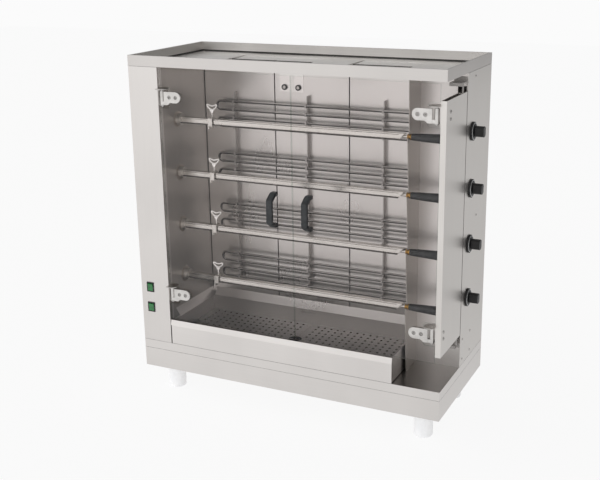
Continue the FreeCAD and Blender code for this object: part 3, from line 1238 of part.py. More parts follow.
# ---------------------------------------------------------------- small fittings
def cable_gland():
    """Mains inlet at the back: hexagonal body and clamping dome with an open bore."""
    z = Z_DECK + GLAND_ABOVE_DECK
    y0 = DEPTH
    hexagon = [(GLAND_X + GLAND_NUT * math.cos(math.radians(60 * k)),
                z + GLAND_NUT * math.sin(math.radians(60 * k))) for k in range(6)]
    nut = prism_y(hexagon, y0, y0 + GLAND_FLANGE)
    dome = Part.makeCone(GLAND_DOME_RADIUS, GLAND_MOUTH_RADIUS, GLAND_PROUD - GLAND_FLANGE,
                         Vector(GLAND_X, y0 + GLAND_FLANGE, z), Y_AXIS)
    thread = rod_y(GLAND_X, y0 - SHEET, y0, z, GLAND_BORE + SHEET)
    locknut = prism_y(hexagon, y0 - SHEET - GLAND_FLANGE, y0 - SHEET)
    bore = rod_y(GLAND_X, y0 - SHEET - GLAND_FLANGE, y0 + GLAND_PROUD, z, GLAND_BORE)
    return cut(fuse(nut, dome, thread, locknut), bore)


def terminal_block():
    """Block on the deck where the mains cores are clamped, with one screw well per pole."""
    x0 = REST_X + BLOCK_INSET_X
    y1 = DEPTH - BLOCK_INSET_Y
    top = Z_DECK + BLOCK_HEIGHT
    base = box(x0, x0 + BLOCK_LENGTH, y1 - BLOCK_DEPTH, y1, Z_DECK, top)
    first = x0 + (BLOCK_LENGTH - (BLOCK_POLES - 1) * BLOCK_POLE_PITCH) / 2.0
    wells = [rod_z(first + k * BLOCK_POLE_PITCH, y1 - BLOCK_DEPTH / 2.0, top - BLOCK_SCREW_DEPTH,
                   top, BLOCK_SCREW_RADIUS) for k in range(BLOCK_POLES)]
    return cut(base, *wells)


def screw_head(point, direction, radius=SCREW_HEAD_RADIUS, height=SCREW_HEAD):
    """Low domed head standing on a face at point."""
    sphere_radius = (radius ** 2 + height ** 2) / (2.0 * height)
    centre = point + direction * (height - sphere_radius)
    block = Part.makeCylinder(radius, height, point, direction)
    return Part.makeSphere(sphere_radius, centre, direction).common(block)


def casing_screws():
    shapes = []
    for y in RIVET_YS:
        for height in RIVET_HEIGHTS:
            shapes.append(screw_head(Vector(WIDTH, y, Z_DECK + height), X_AXIS))
    for y, height in SIDE_SCREWS:
        shapes.append(screw_head(Vector(WIDTH, y, Z_DECK + height), X_AXIS))
    low = Z_DECK + SEAM_GAP + REAR_SCREW_INSET
    high = Z_TOP_PLATE - SEAM_GAP - REAR_SCREW_INSET
    for i in range(REAR_SCREW_COLUMNS):
        x = REAR_SCREW_INSET + i * (WIDTH - 2.0 * REAR_SCREW_INSET) / (REAR_SCREW_COLUMNS - 1)
        for j in range(REAR_SCREW_ROWS):
            if 0 < i < REAR_SCREW_COLUMNS - 1 and 0 < j < REAR_SCREW_ROWS - 1:
                continue
            z = low + j * (high - low) / (REAR_SCREW_ROWS - 1)
            shapes.append(screw_head(Vector(x, DEPTH, z), Y_AXIS))
    for x in (PLATE_SCREW_INSET, WIDTH / 2.0, WIDTH - PLATE_SCREW_INSET):
        for y in (PLATE_SCREW_INSET, DEPTH - PLATE_SCREW_INSET):
            shapes.append(screw_head(Vector(x, y, Z_TOP_PLATE + SHEET), Z_AXIS))
    return shapes


def build():
    os.makedirs("parts", exist_ok=True)
    save("base_apron", base_apron())
    save("base_deck", base_deck())
    save("feet", *feet())
    save("left_column_cover", left_column_cover())
    save("left_inner_wall", left_inner_wall())
    save("reflector_panels", *reflector_panels())
    save("rear_cover", rear_cover())
    save("right_side_panel", right_side_panel())
    save("bay_back_wall", bay_back_wall())
    save("spit_rest_wall", spit_rest_wall())
    save("top_plate", top_plate())
    save("top_rim", top_rim())
    save("door_catch", *door_catch())
    save("heating_elements", *[element(z) for z in SPIT_ZS])
    save("element_rails", *element_rails())
    save("spit_bearings", *spit_bearings())
    save("gearmotor", gearmotor())
    save("motor_sprocket", motor_sprocket())
    save("drive_chain", drive_chain())
    for number, z in enumerate(SPIT_ZS, 1):
        save("drive_shaft_%d" % number, drive_shaft(z))
        save("spit_%d" % number, *spit(z))
        save("fork_%d" % number, fork(z))
        save("wing_screw_%d" % number, wing_screw(z))
        save("knob_%d" % number, knob(z))
    save("energy_regulators", *energy_regulators())
    left_edge = LEFT_COLUMN_WIDTH + DOOR_SIDE_GAP
    right_edge = GATE_INNER_X - DOOR_SIDE_GAP / 2.0
    half_gap = MEETING_GAP / 2.0
    save("left_door_glass", door_glass(left_edge, MEETING_X - half_gap, PIN_X_LEFT, 1))
    save("right_door_glass", door_glass(MEETING_X + half_gap, right_edge, PIN_X_RIGHT, -1))
    save("left_door_handle", *door_handle(MEETING_X - GRIP_OFFSET))
    save("right_door_handle", *door_handle(MEETING_X + GRIP_OFFSET))
    save("left_door_leaves", *door_leaves(1))
    save("right_door_leaves", *door_leaves(-1))
    save("left_hinge_brackets", *left_hinge_brackets())
    save("gate_hinge_brackets", *gate_hinge_brackets())
    save("side_gate", side_gate())
    save("gate_pivots", *gate_pivots())
    save("drip_drawer", drip_drawer())
    for side, (x0, x1) in zip(("left", "right"), insert_spans()):
        save("drip_insert_" + side, drip_insert(x0, x1))
    save("drawer_runners", *drawer_runners())
    save("rocker_housings", *rocker_housings())
    for number, z in enumerate(ROCKER_ZS, 1):
        save("rocker_%d" % number, rocker(z))
    save("cable_gland", cable_gland())
    save("terminal_block", terminal_block())
    save("casing_screws", *casing_screws())


build()
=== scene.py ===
"""Looks of an electric skewer grill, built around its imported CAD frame."""
import json
import logging
import math
from collections.abc import Sequence
from dataclasses import dataclass, field
from enum import Enum

import bmesh
import bpy
from mathutils import Matrix, Vector


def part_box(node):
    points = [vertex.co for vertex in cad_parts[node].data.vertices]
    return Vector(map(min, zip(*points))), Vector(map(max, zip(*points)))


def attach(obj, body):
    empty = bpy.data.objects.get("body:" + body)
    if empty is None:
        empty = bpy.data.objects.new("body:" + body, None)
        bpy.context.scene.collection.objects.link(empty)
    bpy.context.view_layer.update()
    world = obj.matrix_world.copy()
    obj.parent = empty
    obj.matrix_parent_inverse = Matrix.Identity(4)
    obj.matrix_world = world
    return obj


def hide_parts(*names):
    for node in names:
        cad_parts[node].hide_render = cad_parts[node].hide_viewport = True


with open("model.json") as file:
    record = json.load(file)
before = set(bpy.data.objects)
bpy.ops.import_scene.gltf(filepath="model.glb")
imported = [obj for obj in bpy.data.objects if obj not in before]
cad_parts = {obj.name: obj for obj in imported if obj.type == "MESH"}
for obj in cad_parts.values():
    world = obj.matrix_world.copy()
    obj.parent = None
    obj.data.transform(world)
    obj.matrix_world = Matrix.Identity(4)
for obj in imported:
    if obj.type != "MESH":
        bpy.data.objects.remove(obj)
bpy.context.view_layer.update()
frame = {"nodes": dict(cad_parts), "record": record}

log = logging.getLogger("grill")
MM = 0.001
Triple = tuple[float, float, float]
Box = tuple[float, float, float, float, float, float]
Profile = Sequence[tuple[float, float]]     # distance along an axis and radius, in millimetres
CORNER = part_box("base_apron")[0]
ORIGIN_MM = (round(-CORNER[0] / MM, 3), round(-CORNER[1] / MM, 3), 0.0)     # in shop coordinates
JOINTS = {joint["name"]: joint for joint in frame["record"]["behaviour"]["joints"]}


# ---------------------------------------------------------------- small tools
class Axis(Enum):
    """Directions of the object: X right, Y back, Z up."""

    X = 0
    Y = 1
    Z = 2


class Side(Enum):
    """The two doors, each with the way along X from their meeting edge to its hinge."""

    LEFT = -1
    RIGHT = 1

    @property
    def word(self) -> str:
        """The side as the CAD nodes write it."""
        return self.name.lower()


def reach(node: str, axis: Axis, far: bool = True) -> float:
    """Finds where a CAD node ends.

    Args:
        node: name of the CAD node.
        axis: direction that is asked for.
        far: True for the end on the right, at the back or on top.

    Returns:
        The end's shop coordinate in millimetres.
    """
    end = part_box(node)[1 if far else 0]
    return round(end[axis.value] / MM + ORIGIN_MM[axis.value], 3)


def middle(node: str, axis: Axis) -> float:
    """Shop coordinate of a CAD node's middle along an axis, in millimetres."""
    return (reach(node, axis, False) + reach(node, axis)) / 2.0


def pivot(joint: str, axis: Axis) -> float:
    """Shop coordinate of a joint's place along an axis, in millimetres."""
    return round(JOINTS[joint]["pos_m"][axis.value] / MM + ORIGIN_MM[axis.value], 3)


def at(x: float, y: float, z: float) -> Vector:
    """Point of the frame for shop coordinates.

    Args:
        x: millimetres from the casing's left side.
        y: millimetres behind its front face.
        z: millimetres above the floor.

    Returns:
        The point in metres.
    """
    return Vector((x - ORIGIN_MM[0], y - ORIGIN_MM[1], z - ORIGIN_MM[2])) * MM


def linear(code: str, alpha: float = 1.0) -> tuple[float, float, float, float]:
    """Linear colour of an sRGB hex code.

    Args:
        code: six hex digits after a hash sign.
        alpha: opacity to append.

    Returns:
        Red, green, blue and alpha, linear.
    """
    values = []
    for start in (1, 3, 5):
        part = int(code[start:start + 2], 16) / 255.0
        values.append(part / 12.92 if part <= 0.04045 else ((part + 0.055) / 1.055) ** 2.4)
    return values[0], values[1], values[2], alpha


def add(tree: bpy.types.NodeTree, kind: str, wires: dict | None = None,
        **settings: object) -> bpy.types.Node:
    """Adds one node with its settings and input wires.

    Args:
        tree: node tree that gets the node.
        kind: Blender's identifier of the node type.
        wires: input name or index to a value, or to the socket that feeds it.
        **settings: attributes of the node.

    Returns:
        The new node.
    """
    item = tree.nodes.new(kind)
    for name, value in settings.items():
        setattr(item, name, value)
    for key, value in (wires or {}).items():
        if isinstance(value, bpy.types.NodeSocket):
            tree.links.new(value, item.inputs[key])
        else:
            item.inputs[key].default_value = value
    return item


def fresh(name: str) -> tuple[bpy.types.Material, bpy.types.NodeTree, bpy.types.Node]:
    """Makes an empty node material.

    Args:
        name: name of the material.

    Returns:
        The material, its tree and its output node.
    """
    material = bpy.data.materials.new(name)
    material.use_nodes = True
    tree = material.node_tree
    tree.nodes.clear()
    return material, tree, add(tree, "ShaderNodeOutputMaterial")


def pattern(tree: bpy.types.NodeTree, sizes_mm: Triple,
            detail: float = 3.0, shift: float = 0.0) -> bpy.types.NodeSocket:
    """Noise whose blotches have a real size along each axis.

    Args:
        tree: tree of the material.
        sizes_mm: size of one blotch along X, Y and Z, in millimetres.
        detail: octaves of finer noise.
        shift: offset that makes another copy of the pattern.

    Returns:
        Socket of the noise value, around one half.
    """
    place = add(tree, "ShaderNodeTexCoord").outputs["Object"]
    scaled = add(tree, "ShaderNodeMapping", {
        "Vector": place, "Location": (shift, shift, shift),
        "Scale": tuple(1.0 / (size * MM) for size in sizes_mm)}).outputs["Vector"]
    return add(tree, "ShaderNodeTexNoise", {"Vector": scaled, "Scale": 1.0,
                                            "Detail": detail}).outputs["Fac"]


def tinted(tree: bpy.types.NodeTree, value: bpy.types.NodeSocket,
           span: tuple[float, float], dark: str, light: str) -> bpy.types.NodeSocket:
    """Runs a colour from one shade to another as a pattern rises.

    Args:
        tree: tree of the material.
        value: the pattern.
        span: values where the dark shade ends and the light one begins.
        dark: sRGB hex code.
        light: sRGB hex code.

    Returns:
        Socket of the colour.
    """
    share = add(tree, "ShaderNodeMapRange", {"Value": value, "From Min": span[0],
                                             "From Max": span[1]})
    mix = add(tree, "ShaderNodeMix", {0: share.outputs[0], 6: linear(dark), 7: linear(light)},
              data_type="RGBA")
    return mix.outputs[2]


def sloped(tree: bpy.types.NodeTree, colour: bpy.types.NodeSocket, normal: str,
           span: tuple[float, float], ends: tuple[float, float]) -> bpy.types.NodeSocket:
    """Scales a colour by how far its surface faces up.

    Args:
        tree: tree of the material.
        colour: the colour that is scaled.
        normal: which normal counts, of those that the geometry gives.
        span: upward shares of the normal between which the scale changes.
        ends: scale below and above that span.

    Returns:
        Socket of the scaled colour.
    """
    rise = add(tree, "ShaderNodeSeparateXYZ", {
        0: add(tree, "ShaderNodeNewGeometry").outputs[normal]}).outputs["Z"]
    scale = add(tree, "ShaderNodeMapRange", {
        "Value": rise, "From Min": span[0], "From Max": span[1],
        "To Min": ends[0], "To Max": ends[1]}).outputs["Result"]
    return add(tree, "ShaderNodeVectorMath", {0: colour, "Scale": scale},
               operation="SCALE").outputs[0]


def surface(tree: bpy.types.NodeTree, out: bpy.types.Node, colour: bpy.types.NodeSocket,
            sheen: tuple[bpy.types.NodeSocket, float, float, float, float],
            relief: tuple[bpy.types.NodeSocket, float, float], wires: dict) -> None:
    """Joins a colour, a changing roughness and a relief into a material's shader.

    Args:
        tree: tree of the material.
        out: its output node.
        colour: base colour.
        sheen: pattern that leads the roughness, its two bounds and the roughness at each.
        relief: pattern that is raised, how strongly, and its height in millimetres.
        wires: further inputs of the shader.
    """
    rough = add(tree, "ShaderNodeMapRange", dict(zip(
        ("Value", "From Min", "From Max", "To Min", "To Max"), sheen)))
    bump = add(tree, "ShaderNodeBump", {"Height": relief[0], "Strength": relief[1],
                                        "Distance": relief[2] * MM})
    shader = add(tree, "ShaderNodeBsdfPrincipled", {
        "Base Color": colour, "Roughness": rough.outputs["Result"],
        "Normal": bump.outputs["Normal"], **wires})
    tree.links.new(shader.outputs["BSDF"], out.inputs["Surface"])


# ---------------------------------------------------------------- finishes
@dataclass(frozen=True)
class BrushedSteel:
    """Stainless sheet, linished along one axis: soft streaks and broad, faint rolling clouds."""

    name: str
    dark: str
    light: str
    roughness: float = 0.34
    grain: Axis = Axis.Z
    grain_mm: float = 2.2       # real grit lines are 0.1 mm; drawn coarser so that they show
    run_mm: float = 260.0
    streak: float = 0.35
    bump_mm: float = 0.02
    top_shade: float = 1.0          # how bright the upward faces stay: painted shade darkens them

    def make(self) -> bpy.types.Material:
        """Builds the material."""
        material, tree, out = fresh(self.name)
        sizes = [self.grain_mm] * 3
        sizes[self.grain.value] = self.run_mm
        lines = pattern(tree, tuple(sizes), 4.0)
        clouds = pattern(tree, (170.0, 170.0, 240.0), 2.0, 7.3)
        tone = add(tree, "ShaderNodeMix", {0: self.streak, 2: clouds, 3: lines},
                   data_type="FLOAT").outputs[0]
        colour = tinted(tree, tone, (0.3, 0.7), self.dark, self.light)
        # Painted shade: the faces that look up are darkened.
        if self.top_shade < 1.0:
            colour = sloped(tree, colour, "True Normal", (0.6, 0.9), (1.0, self.top_shade))
        surface(tree, out, colour, (tone, 0.3, 0.7, self.roughness - 0.05,
                                    self.roughness + 0.06),
                (lines, 0.5, self.bump_mm), {"Metallic": 1.0})
        return material


@dataclass(frozen=True)
class CastMetal:
    """Polished or plated metal with fine scratches and small, soft unevenness."""

    name: str
    dark: str
    light: str
    roughness: float
    patch_mm: float = 9.0
    bump_mm: float = 0.03

    def make(self) -> bpy.types.Material:
        """Builds the material."""
        material, tree, out = fresh(self.name)
        patches = pattern(tree, (self.patch_mm,) * 3, 4.0)
        scratches = pattern(tree, (0.9, 14.0, 0.9), 2.0, 3.1)
        colour = tinted(tree, patches, (0.35, 0.65), self.dark, self.light)
        surface(tree, out, colour, (scratches, 0.35, 0.7, self.roughness - 0.04,
                                    self.roughness + 0.08),
                (patches, 0.4, self.bump_mm), {"Metallic": 1.0})
        return material


@dataclass(frozen=True)
class MouldedPlastic:
    """Moulding, paint or ceramic with tiny pits: a slight gloss, more where it is rubbed."""

    name: str
    dark: str
    light: str
    roughness: float
    pit_mm: float = 0.9         # real pits are 0.1 mm; drawn coarser so that they show
    bump_mm: float = 0.05
    coat: float = 0.0
    glow: str = "#FFFFFF"
    glow_strength: float = 0.0

    def make(self) -> bpy.types.Material:
        """Builds the material."""
        material, tree, out = fresh(self.name)
        pits = pattern(tree, (self.pit_mm,) * 3, 2.0)
        rubbed = pattern(tree, (22.0, 22.0, 22.0), 3.0, 5.7)
        colour = tinted(tree, rubbed, (0.35, 0.7), self.dark, self.light)
        surface(tree, out, colour, (rubbed, 0.3, 0.7, self.roughness + 0.07,
                                    self.roughness - 0.07),
                (pits, 0.6, self.bump_mm),
                {"Coat Weight": self.coat, "IOR": 1.5, "Emission Color": linear(self.glow),
                 "Emission Strength": self.glow_strength})
        return material


@dataclass(frozen=True)
class TintedTube:
    """Sheath of a heating element: bright stainless above, darkened below by painted shade."""

    name: str
    dark: str
    light: str
    roughness: float = 0.34
    under_shade: float = 0.16          # how bright the underside stays under its painted shade
    bump_mm: float = 0.04

    def make(self) -> bpy.types.Material:
        """Builds the material."""
        material, tree, out = fresh(self.name)
        oxide = pattern(tree, (60.0, 9.0, 9.0), 5.0)
        # Painted shade: the faces that look down are darkened.
        colour = sloped(tree, tinted(tree, oxide, (0.35, 0.65), self.dark, self.light),
                        "Normal", (0.1, 0.8), (self.under_shade, 1.0))
        surface(tree, out, colour, (oxide, 0.3, 0.7, self.roughness + 0.08,
                                    self.roughness - 0.06),
                (oxide, 0.3, self.bump_mm), {"Metallic": 1.0})
        return material


@dataclass(frozen=True)
class ToughenedGlass:
    """Clear float glass, toughened: nearly invisible faces and faintly green, darker edges."""

    name: str
    face: str
    edge: str
    gloss: float = 0.45
    ior: float = 1.45

    def make(self) -> bpy.types.Material:
        """Builds the material; what stands behind it is seen straight through."""
        material, tree, out = fresh(self.name)
        wave = pattern(tree, (90.0, 90.0, 140.0), 1.0)
        bump = add(tree, "ShaderNodeBump", {"Height": wave, "Strength": 0.1,
                                            "Distance": 0.02 * MM}).outputs["Normal"]
        facing = add(tree, "ShaderNodeSeparateXYZ", {
            0: add(tree, "ShaderNodeTexCoord").outputs["Normal"]}).outputs["Y"]
        flat = add(tree, "ShaderNodeMath", {0: facing}, operation="ABSOLUTE").outputs[0]
        tint = tinted(tree, flat, (0.3, 0.9), self.edge, self.face)
        clear = add(tree, "ShaderNodeBsdfTransparent", {"Color": tint})
        shine = add(tree, "ShaderNodeBsdfAnisotropic", {"Roughness": 0.03, "Normal": bump})
        fresnel = add(tree, "ShaderNodeFresnel", {"IOR": self.ior, "Normal": bump})
        share = add(tree, "ShaderNodeMath", {0: fresnel.outputs[0], 1: self.gloss},
                    operation="MULTIPLY")
        mix = add(tree, "ShaderNodeMixShader", {0: share.outputs[0], 1: clear.outputs[0],
                                                2: shine.outputs[0]})
        tree.links.new(mix.outputs[0], out.inputs["Surface"])
        return material


class Finish(Enum):
    """Every finish of the grill, by the piece that it is made for."""

    # Sheet: streaks along the grain and faint clouds, brightest where it faces the light.
    CASING = BrushedSteel("linished_stainless_casing", "#D6D2CF", "#DFDBD8", 0.36)
    RIM = BrushedSteel("linished_stainless_rim", "#CAC6C3", "#D4D0CD", 0.36, Axis.X)
    # The rim's inner faces: a slightly darker copy of the rim's steel, painted shade.
    RIM_INSIDE = BrushedSteel("folded_stainless_lining", "#C6C3C0", "#D4D1CE", 0.40, Axis.X)
    # Band, deck and drawer front: painted shade darkens their upward faces.
    FRONT_BAND = BrushedSteel("linished_stainless_band", "#DAD6D3", "#E3DFDC", 0.32, Axis.X,
                              top_shade=0.48)
    SIDE = BrushedSteel("linished_stainless_side", "#D2CECA", "#DFDBD7", 0.34, Axis.Z, 2.6)
    # A lighter copy of the casing's steel, for the top plate and the flue baffles: painted light.
    TOP = BrushedSteel("linished_stainless_top", "#E8E5E2", "#F4F2EF", 0.32, Axis.X)
    # A darker copy of the casing's steel, for the walls and runners inside: painted shade.
    WALL = BrushedSteel("mill_finish_stainless_wall", "#AEA9A4", "#C2BDB8", 0.36, Axis.Z, 3.0)
    REFLECTOR = BrushedSteel("bright_rolled_stainless", "#CAC6C3", "#D4D0CD", 0.31, Axis.Z, 9.0,
                             600.0, 0.15, 0.0004)
    # A much darker copy of the steel, for the plates in the drawer: painted shade.
    INSERT = BrushedSteel("punched_stainless", "#84807D", "#9A9693", 0.38, Axis.X)
    RAIL = BrushedSteel("pressed_stainless_rail", "#9E9A97", "#B0ACA9", 0.35, Axis.Z, 3.0)
    # Drawn, forged and plated metal: tighter highlights on rounded edges.
    SPIT = BrushedSteel("drawn_steel_spit", "#C6C2BC", "#DAD6D1", 0.26, Axis.X, 2.0, 120.0)
    FORK = CastMetal("forged_steel_fork", "#C5C1BB", "#DEDAD5", 0.32)
    THUMB = CastMetal("plated_wire_loop", "#EEEBE7", "#FBF9F6", 0.28, 6.0, 0.01)
    HINGE = CastMetal("polished_stainless_casting", "#C9C6C3", "#D8D5D2", 0.24, 30.0, 0.01)
    BRACKET = CastMetal("tumbled_stainless_casting", "#B6B3B0", "#C6C3C0", 0.30, 30.0, 0.01)
    # Dark rings and sockets of the leaf screws: painted shade.
    SOCKET = CastMetal("countersunk_steel_screw", "#5E5B58", "#7A7673", 0.36, 3.0, 0.005)
    SCREW = CastMetal("bright_screw_steel", "#B9B6B2", "#D6D3CF", 0.26, 3.0, 0.005)
    CHROME = CastMetal("chromed_ring", "#D9D9D9", "#F0F0F0", 0.12, 8.0, 0.005)
    MAGNET_FACE = CastMetal("ground_pole_plate", "#A5A19D", "#C0BCB8", 0.40, 3.0, 0.01)
    # Dark, dull metal: painted shade on the tube's underside, painted shadow along the spits and on
    # the pan's floor; the chain is oiled steel.
    TUBE = TintedTube("sooted_element_tube", "#BBB7B3", "#D0CCC8")
    # Dark strips of painted shadow along the spits.
    EDGE = CastMetal("scorched_sheet_edge", "#4A4744", "#5E5A57", 0.45, 6.0, 0.01)
    # Near black: painted shade on the pan's floor under the plates.
    FAT = CastMetal("baked_fat_film", "#0C0A09", "#1A1614", 0.5, 40.0, 0.1)
    CHAIN = CastMetal("oiled_chain_steel", "#4A4743", "#6C6862", 0.4, 5.0)
    # Turned and sintered metal: warm or grey, with fine scratches round it.
    BRASS = CastMetal("turned_brass", "#8A6A33", "#C79A55", 0.3, 4.0, 0.01)
    BRONZE = CastMetal("sintered_bronze_bearing", "#A79D92", "#C2B9AF", 0.40, 7.0, 0.01)
    HUB = CastMetal("turned_steel_hub", "#C4BFB9", "#DAD6D0", 0.34, 9.0, 0.01)
    # Enamel: pale and even, without any mirror image.
    ENAMEL = MouldedPlastic("baked_grey_enamel", "#A9A5A2", "#B6B2AF", 0.5)
    # Mouldings: dull black or pale, with a soft gloss where hands rub them.
    MAGNET = MouldedPlastic("black_magnet_pot", "#0A0A0A", "#161616", 0.5)
    BLACK = MouldedPlastic("moulded_black_polyamide", "#0E0F10", "#1C1D1F", 0.42)
    DOOR_GRIP = MouldedPlastic("moulded_charcoal_polyamide", "#1E2022", "#323537", 0.40)
    HANDLE = MouldedPlastic("moulded_charcoal_thermoset", "#202224", "#343638", 0.40)
    POINTER = MouldedPlastic("printed_white_mark", "#E4E4E0", "#F4F4F0", 0.5)
    PHENOLIC = MouldedPlastic("phenolic_moulding", "#1C1917", "#2D2926", 0.5)
    # Glass: seen only by its edges and by faint reflections.
    GLASS = ToughenedGlass("toughened_float_glass", "#FEFDFD", "#E4EAE7")
    # Pale feet with a painted glow that brightens them; the green rocker lens, lit by its lamp,
    # glows a little.
    FOOT = MouldedPlastic("moulded_white_polypropylene", "#F3F4F6", "#FCFCFD", 0.38,
                          glow="#FFFFFF", glow_strength=0.22)
    GREEN = MouldedPlastic("lit_green_polycarbonate", "#1C5E2E", "#2F8446", 0.22, coat=0.4,
                           glow="#2BA34D", glow_strength=0.06)
    # Fittings inside: matt and quiet. Dark strips of painted shadow in open joints, creases and
    # gaps.
    CERAMIC = MouldedPlastic("steatite_ceramic", "#D8D2C4", "#E9E4D8", 0.6)
    MOTOR = MouldedPlastic("satin_motor_paint", "#1A1B1D", "#2A2B2E", 0.38)
    JOINT = MouldedPlastic("grey_silicone_joint", "#2C2A28", "#3A3836", 0.6)


class Workshop:
    """Keeps each finish's material, and makes and places the meshes of new pieces."""

    def __init__(self) -> None:
        """Starts with no material made."""
        self.made: dict[Finish, bpy.types.Material] = {}

    def material(self, finish: Finish) -> bpy.types.Material:
        """Material of a finish, made when it is first asked for."""
        if finish not in self.made:
            self.made[finish] = finish.value.make()
        return self.made[finish]

    def dress(self, node: str, finish: Finish, edge_mm: float = 0.0) -> None:
        """Gives a CAD node its material and, if asked, softened edges.

        Args:
            node: name of the CAD node.
            finish: what its surface is.
            edge_mm: width of the softened edge, 0 for none.
        """
        piece = frame["nodes"][node]
        for slot in piece.material_slots:
            slot.material = self.material(finish)
        if edge_mm:
            self.soften(piece, edge_mm)
        log.info("dressed %s in %s", node, finish.name.lower())

    def soften(self, piece: bpy.types.Object, edge_mm: float, segments: int = 2) -> None:
        """Rounds the sharp edges of a piece.

        Args:
            piece: object that gets the bevel.
            edge_mm: width of the bevel.
            segments: steps across it.
        """
        bevel = piece.modifiers.new("softened_edges", "BEVEL")
        bevel.width = edge_mm * MM
        bevel.segments = segments
        bevel.limit_method = "ANGLE"
        bevel.angle_limit = math.radians(40.0)
        bevel.use_clamp_overlap = True
        bevel.harden_normals = False

    def piece(self, name: str, mesh: bmesh.types.BMesh, finish: Finish, body: str, slot: str,
              smooth_deg: float = 35.0) -> bpy.types.Object:
        """Turns a mesh into a piece that rides on a body.

        Args:
            name: name of the piece.
            mesh: its shape in frame coordinates; it is freed here.
            finish: what its surface is.
            body: CAD body that it rides on.
            slot: record's material slot; not used.
            smooth_deg: edges sharper than this stay crisp.

        Returns:
            The new object.
        """
        bmesh.ops.remove_doubles(mesh, verts=mesh.verts, dist=1e-6)
        bmesh.ops.recalc_face_normals(mesh, faces=mesh.faces)
        for face in mesh.faces:
            face.smooth = True
        for edge in mesh.edges:
            edge.smooth = edge.calc_face_angle(math.pi) < math.radians(smooth_deg)
        data = bpy.data.meshes.new(name)
        mesh.to_mesh(data)
        mesh.free()
        made = bpy.data.objects.new(name, data)
        bpy.context.scene.collection.objects.link(made)
        data.materials.append(self.material(finish))
        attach(made, body)
        log.info("made %s", name)
        return made


# ---------------------------------------------------------------- mesh tools
def lathe(mesh: bmesh.types.BMesh, profile: Profile, centre: Vector, axis: Axis,
          steps: int = 64, ring_shaped: bool = False) -> None:
    """Adds a turned shape.

    Args:
        mesh: mesh that it is added to.
        profile: distance along the axis and radius, in millimetres, from end to end.
        centre: point on the axis that distances count from.
        axis: direction of the axis.
        steps: facets round it.
        ring_shaped: True if the profile closes on itself, so that there are no end faces.
    """
    first, second = [k for k in range(3) if k != axis.value]
    rings = []
    for along, radius in profile:
        ring = []
        for k in range(steps if radius > 0.0 else 1):
            angle = 2.0 * math.pi * k / steps
            spot = centre.copy()
            spot[axis.value] += along * MM
            spot[first] += radius * MM * math.cos(angle)
            spot[second] += radius * MM * math.sin(angle)
            ring.append(mesh.verts.new(spot))
        rings.append(ring)
    pairs = list(zip(rings, rings[1:]))
    if ring_shaped:
        pairs.append((rings[-1], rings[0]))
    for low, high in pairs:
        for k in range(steps):
            corners = [low[k % len(low)], low[(k + 1) % len(low)],
                       high[(k + 1) % len(high)], high[k % len(high)]]
            mesh.faces.new(list(dict.fromkeys(corners)))
    for ring in (rings[0], rings[-1]):
        if len(ring) > 1 and not ring_shaped:
            mesh.faces.new(ring)


def prism(mesh: bmesh.types.BMesh, outline: list[Vector], run: Vector) -> None:
    """Adds a straight extrusion of a flat outline.

    Args:
        mesh: mesh that it is added to.
        outline: corners in order, in metres.
        run: extrusion vector in metres.
    """
    low = [mesh.verts.new(spot) for spot in outline]
    high = [mesh.verts.new(spot + run) for spot in outline]
    mesh.faces.new(low)
    mesh.faces.new(high)
    count = len(outline)
    for k in range(count):
        mesh.faces.new([low[k], low[(k + 1) % count], high[(k + 1) % count], high[k]])


def block(mesh: bmesh.types.BMesh, low: Vector, high: Vector) -> None:
    """Adds a box between two corners."""
    outline = [Vector((low.x, low.y, low.z)), Vector((high.x, low.y, low.z)),
               Vector((high.x, high.y, low.z)), Vector((low.x, high.y, low.z))]
    prism(mesh, outline, Vector((0.0, 0.0, high.z - low.z)))


def sweep(mesh: bmesh.types.BMesh, path: list[Vector], across: Vector,
          halves: list[tuple[float, float]], roundness: float, closed: bool) -> None:
    """Adds a bar with a rounded section along a path that lies in one plane.

    Args:
        mesh: mesh that it is added to.
        path: points in metres.
        across: unit vector square to the plane of the path.
        halves: for each point, half the section's size in the plane and across it, in mm.
        roundness: 0 for a square section and 1 for an ellipse.
        closed: True if the path is a loop.
    """
    steps = 20
    count = len(path)
    rings = []
    for k, spot in enumerate(path):
        before = path[(k - 1) % count] if closed or k else spot
        after = path[(k + 1) % count] if closed or k < count - 1 else spot
        ahead = (after - before).normalized()
        side = ahead.cross(across).normalized()
        ring = []
        for step in range(steps):
            angle = 2.0 * math.pi * (step + 0.5) / steps
            power = 0.35 + 0.65 * roundness
            u = math.copysign(abs(math.cos(angle)) ** power, math.cos(angle))
            w = math.copysign(abs(math.sin(angle)) ** power, math.sin(angle))
            ring.append(mesh.verts.new(spot + side * (u * halves[k][0] * MM)
                                       + across * (w * halves[k][1] * MM)))
        rings.append(ring)
    pairs = list(zip(rings, rings[1:]))
    if closed:
        pairs.append((rings[-1], rings[0]))
    for low, high in pairs:
        for step in range(steps):
            follow = (step + 1) % steps
            mesh.faces.new([low[step], low[follow], high[follow], high[step]])
    if not closed:
        mesh.faces.new(rings[0])
        mesh.faces.new(rings[-1])


def rounded_path(corners: list[Vector], radius_mm: float, steps: int = 8) -> list[Vector]:
    """Polyline through corners, each rounded by a smooth bend.

    Args:
        corners: points of the sharp path, in metres.
        radius_mm: distance from a corner at which its bend starts.
        steps: points in each bend.

    Returns:
        Points of the rounded path.
    """
    path = [corners[0]]
    for before, corner, after in zip(corners, corners[1:], corners[2:]):
        start = corner + (before - corner).normalized() * radius_mm * MM
        end = corner + (after - corner).normalized() * radius_mm * MM
        for k in range(steps + 1):
            t = k / steps
            path.append(start * (1 - t) ** 2 + corner * (2 * t * (1 - t)) + end * t ** 2)
    path.append(corners[-1])
    return path


